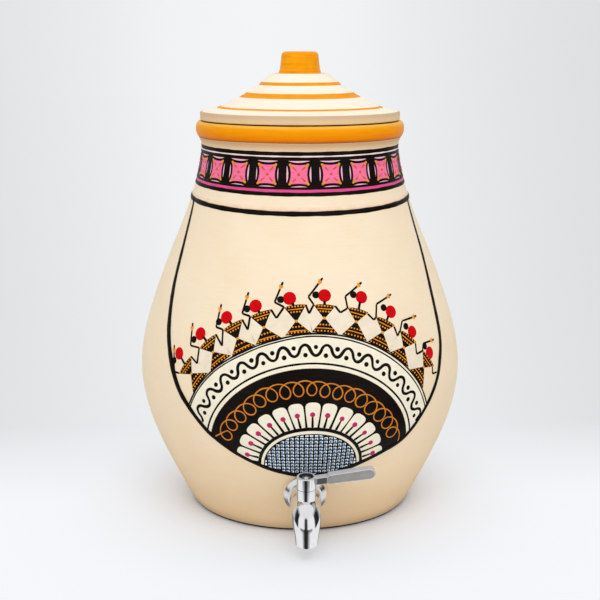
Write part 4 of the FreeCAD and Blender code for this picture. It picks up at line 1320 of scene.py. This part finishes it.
for i in range(len(WAISTS)):
    dress(i)
    head(i)
    raised_arm(i)
for i, low in enumerate(JOINED):
    low_point, left_hand, right_hand = around(i, *low), around(i, 4.0, 10.8), around(i + 1, -4.2, 10.5)
    arms.stroke([left_hand, low_point], 1.75, step=0.8)
    arms.stroke([low_point, right_hand], 1.75, step=0.8)
    gap = [left_hand, low_point, right_hand, waist(i + 1)]
    gap += [around(i + 1, -5.2, -12), around(i, 6.2, -12), waist(i)]
    middle = [(a + b) / 2 for a, b in zip(around(i, 0, -2), around(i + 1, 0, -2))]
    gaps.fill(gap, middle)
last = len(WAISTS) - 1
arms.stroke([around(last, 3.5, 10.0), around(last, 5.6, 6.0)], 1.6, step=0.8)
arms.stroke([around(last, 5.6, 6.0), around(last, 6.9, 12.0)], 1.6, step=0.8)
gaps.finish("dancer_pale_gaps", PALE)
bodies.finish("dancer_black_dresses", BLACK)
beads.finish("dancer_orange_beads", LINE_ORANGE)
arms.finish("dancer_arms", BLACK)
heads.finish("dancer_red_heads", RED)
buns.finish("dancer_black_buns", BLACK)
hands.finish("dancer_orange_hands", LINE_ORANGE)


# ---- the lid


def lid_coat(name, low, high, lift, material, low_edge=0.3, high_edge=0.3, step=0.8):
    """A coat round the lid, between two distances along its outline."""

    def skin(across, s, rise):
        return lid_skin(across, s, rise + lift)

    rows = np.linspace(low, high, max(4, int((high - low) / step)))
    return turned_coat(name, skin, rows, material, "lid", low_edge, high_edge)


LEDGE = LID.along(LID_TOP - 19.2)
BRIM_CORNER = LID.along(BRIM_TOP - 0.4)
# The lid's slip coat is the lighter lid cream: painted light on its upward faces.
lid_coat("lid_slip_coat", BRIM_CORNER + 0.6, LEDGE + 1.5, 0.0, LIT_LID_CREAM, 0.4, 0.4)
# The brim's coat carries painted shade on the brim's side face.
lid_coat("lid_brim_shade_coat", LID.along(POT_TOP + LID_GAP), BRIM_CORNER + 2.0, 0.05, SHADED_BRIM_CREAM, 1.6, 0.2)
lid_coat("lid_knob_paint", LEDGE + 0.4, LID.s[-1], 0.06, ORANGE, 0.4, 0.0)
for name, low, high in (("foot", 366.7, 368.3), ("low", 376.0, 380.4), ("high", 386.6, 389.7)):
    lid_coat("lid_orange_band_" + name, LID.along(low), LID.along(high), 0.08, BAND_ORANGE, 0.2, 0.2, 0.5)


# ---- floor, light and camera

FLOOR_REACH = 9.0
FLOOR_COLOUR = linear(238, 242, 249)
SKY_LEVELS = [(0.0, 0.62), (0.5, 0.75), (1.0, 1.0)]
KEY_POWER = 15.2
KEY_SIZE = 1.8
# The plain backdrop, darker towards its sides: a grey by the degrees either side of its middle, seen
# from where the camera stands.
BACKDROP = [(0, 0.915), (4, 0.895), (8, 0.83), (12, 0.78), (16, 0.745), (40, 0.7)]
BACKDROP_TINT = (0.985, 0.995, 1.012)
NEAR_FLOOR = linear(247, 249, 251)
# How much of the backdrop the camera sees in the floor, by the distance from the pot's axis, and
# where the near floor turns into the backdrop, as metres behind the pot's axis.
FLOOR_FADE = [(0.0, 0.0), (0.105, 0.08), (0.15, 0.35), (0.24, 0.75), (0.4, 0.92), (0.9, 1.0)]
FLOOR_TURN = [(0.0, 0.0), (0.28, 0.0), (0.5, 1.0)]
FLOOR_TURN_START = -0.3
# What mirrors see round the pot, by the angle from straight in front: a dark room behind the camera,
# a bright screen on each side of it, and dark flags beside the pot.
SIDES = [(66, 1.0), (75, 0.02), (106, 0.02), (124, 0.72), (180, 0.8)]
ROOM = [(0, 0.02), (7, 0.03), (14, 0.6), (20, 1.0)] + SIDES
FAR_ROOM = [(0, 0.02), (15, 0.03), (20, 0.2), (46, 0.32), (53, 1.0)] + SIDES
FLOOR_ROOM = [(0, 0.02), (12, 0.03), (19, 0.3), (29, 0.7), (36, 1.0)]
FLOOR_ROOM += [(116, 0.95), (130, 0.25), (150, 0.2), (168, 0.8)]
# How far from the pot's axis, in metres, the floor in the mirrors starts and stops turning into the
# far room, and that one into the room.
ROOM_START, ROOM_END = 0.225, 0.27
REMOTE_START, REMOTE_END = 0.33, 0.42
# How far the room's front and back are turned to the left, in degrees.
ROOM_TURN = 8.0
# The room's ceiling and the height at which the screens fade into it, by the ray's steepness.
ROOM_TOP = 0.92
CEILING_START, CEILING_END = 0.5, 0.7
# How far in front of the pot's axis, in metres, the angles on the floor are measured from.
ROOM_FORWARD = 0.16
KEY_PLACE = (0.0, -1.5, 2.0)
KEY_TARGET = (0, 0, 0.2)


def floor():
    """A round sheet of pale paper that turns into the backdrop far from the pot."""
    segments = 96
    radii = [0.05, 0.12, 0.2, 0.3, 0.45, 0.7, 1.1, 1.8, 3.2, FLOOR_REACH]
    points = [(0.0, 0.0, 0.0)]
    for radius in radii:
        for k in range(segments):
            angle = 2 * math.pi * k / segments
            points.append((radius * math.cos(angle), radius * math.sin(angle), 0.0))
    faces = [(0, 1 + k, 1 + (k + 1) % segments) for k in range(segments)]
    faces += grid_faces(len(radii), segments, start=1, closed=True)
    mesh = bpy.data.meshes.new("floor")
    mesh.from_pydata(points, [], faces)
    piece = bpy.data.objects.new("floor", mesh)
    bpy.context.scene.collection.objects.link(piece)
    mesh.materials.append(floor_material())


def floor_material():
    surface = Surface("floor_paper", 0.7, specular=0.15)
    tone = surface.noise(260, detail=2)
    surface.colour(surface.ramp(tone, [(0.3, FLOOR_COLOUR), (0.7, linear(236, 240, 248))]))
    surface.bump([(surface.noise(1.2, detail=3), 0.02)], 0.3)
    far = surface.vector("LENGTH", surface.place)
    behind = surface.do("SUBTRACT", surface.parts(surface.place)["Y"], FLOOR_TURN_START)
    turn = surface.levels(behind, FLOOR_TURN, 1.0)
    seen, mirrored = surface.light_path()
    backdrop = surface.backdrop(surface.place, CAMERA_DISTANCE * MM)
    glow = surface.glow("Emission", surface.mixed(turn, NEAR_FLOOR, backdrop))
    fade = surface.do("MULTIPLY", surface.levels(far, FLOOR_FADE, 2.0), seen)
    plain = surface.shaders(fade, surface.shader.outputs[0], glow)
    angle = surface.front_angle(surface.place, ROOM_FORWARD)
    near, middle, outer = (surface.levels(angle, room, 180) for room in (FLOOR_ROOM, FAR_ROOM, ROOM))
    outer = surface.mixed(surface.share(far, REMOTE_START, REMOTE_END), middle, outer)
    screens = surface.mixed(surface.share(far, ROOM_START, ROOM_END), near, outer)
    shown = surface.shaders(mirrored, plain, surface.glow("Emission", screens))
    surface.feed(surface.tree.nodes["Material Output"], {"Surface": shown})
    return surface.material


def world():
    """Even light from all round, a plain backdrop, and the studio's screens in the mirrors."""
    sky = bpy.data.worlds.new("studio")
    bpy.context.scene.world = sky
    sky.use_nodes = True
    sky.node_tree.nodes.clear()
    nodes = Nodes(sky.node_tree)
    seen, mirrored = nodes.light_path()
    direction = nodes.tree.nodes.new("ShaderNodeTexCoord").outputs["Generated"]
    height = nodes.parts(direction)["Z"]
    light = nodes.glow("Background", nodes.levels(height, SKY_LEVELS, 2.0))
    backdrop = nodes.glow("Background", nodes.backdrop(direction, 0.0))
    screens = nodes.levels(nodes.front_angle(direction, 0.0), ROOM, 180)
    ceiling = nodes.share(height, CEILING_START, CEILING_END)
    room = nodes.glow("Background", nodes.mixed(ceiling, screens, grey(ROOM_TOP)))
    shown = nodes.shaders(mirrored, nodes.shaders(seen, light, backdrop), room)
    nodes.add("OutputWorld", {"Surface": shown})


def lamp(name, place, target, size, power):
    data = bpy.data.lights.new(name, "AREA")
    data.shape = "DISK"
    data.size = size
    data.energy = power
    piece = bpy.data.objects.new(name, data)
    bpy.context.scene.collection.objects.link(piece)
    piece.location = place
    piece.rotation_mode = "QUATERNION"
    piece.rotation_quaternion = (Vector(target) - Vector(place)).to_track_quat("-Z", "Y")
    return piece


floor()
world()
key = lamp("key_softbox", KEY_PLACE, KEY_TARGET, KEY_SIZE, KEY_POWER)
key.visible_glossy = False

camera_data = bpy.data.cameras.new("camera")
camera_data.lens = CAMERA_LENS
camera_data.sensor_width = CAMERA_SENSOR
camera_data.shift_x = CAMERA_SHIFT
camera = bpy.data.objects.new("camera", camera_data)
bpy.context.scene.collection.objects.link(camera)
azimuth = math.radians(CAMERA_AZIMUTH)
behind, aside = CAMERA_DISTANCE * math.cos(azimuth), CAMERA_DISTANCE * math.sin(azimuth)
camera.location = Vector((-aside, -behind, CAMERA_HEIGHT)) * MM
camera.rotation_euler = (math.radians(90 - CAMERA_PITCH), 0, -azimuth)
bpy.context.scene.camera = camera
bpy.context.scene.view_settings.view_transform = "Standard"
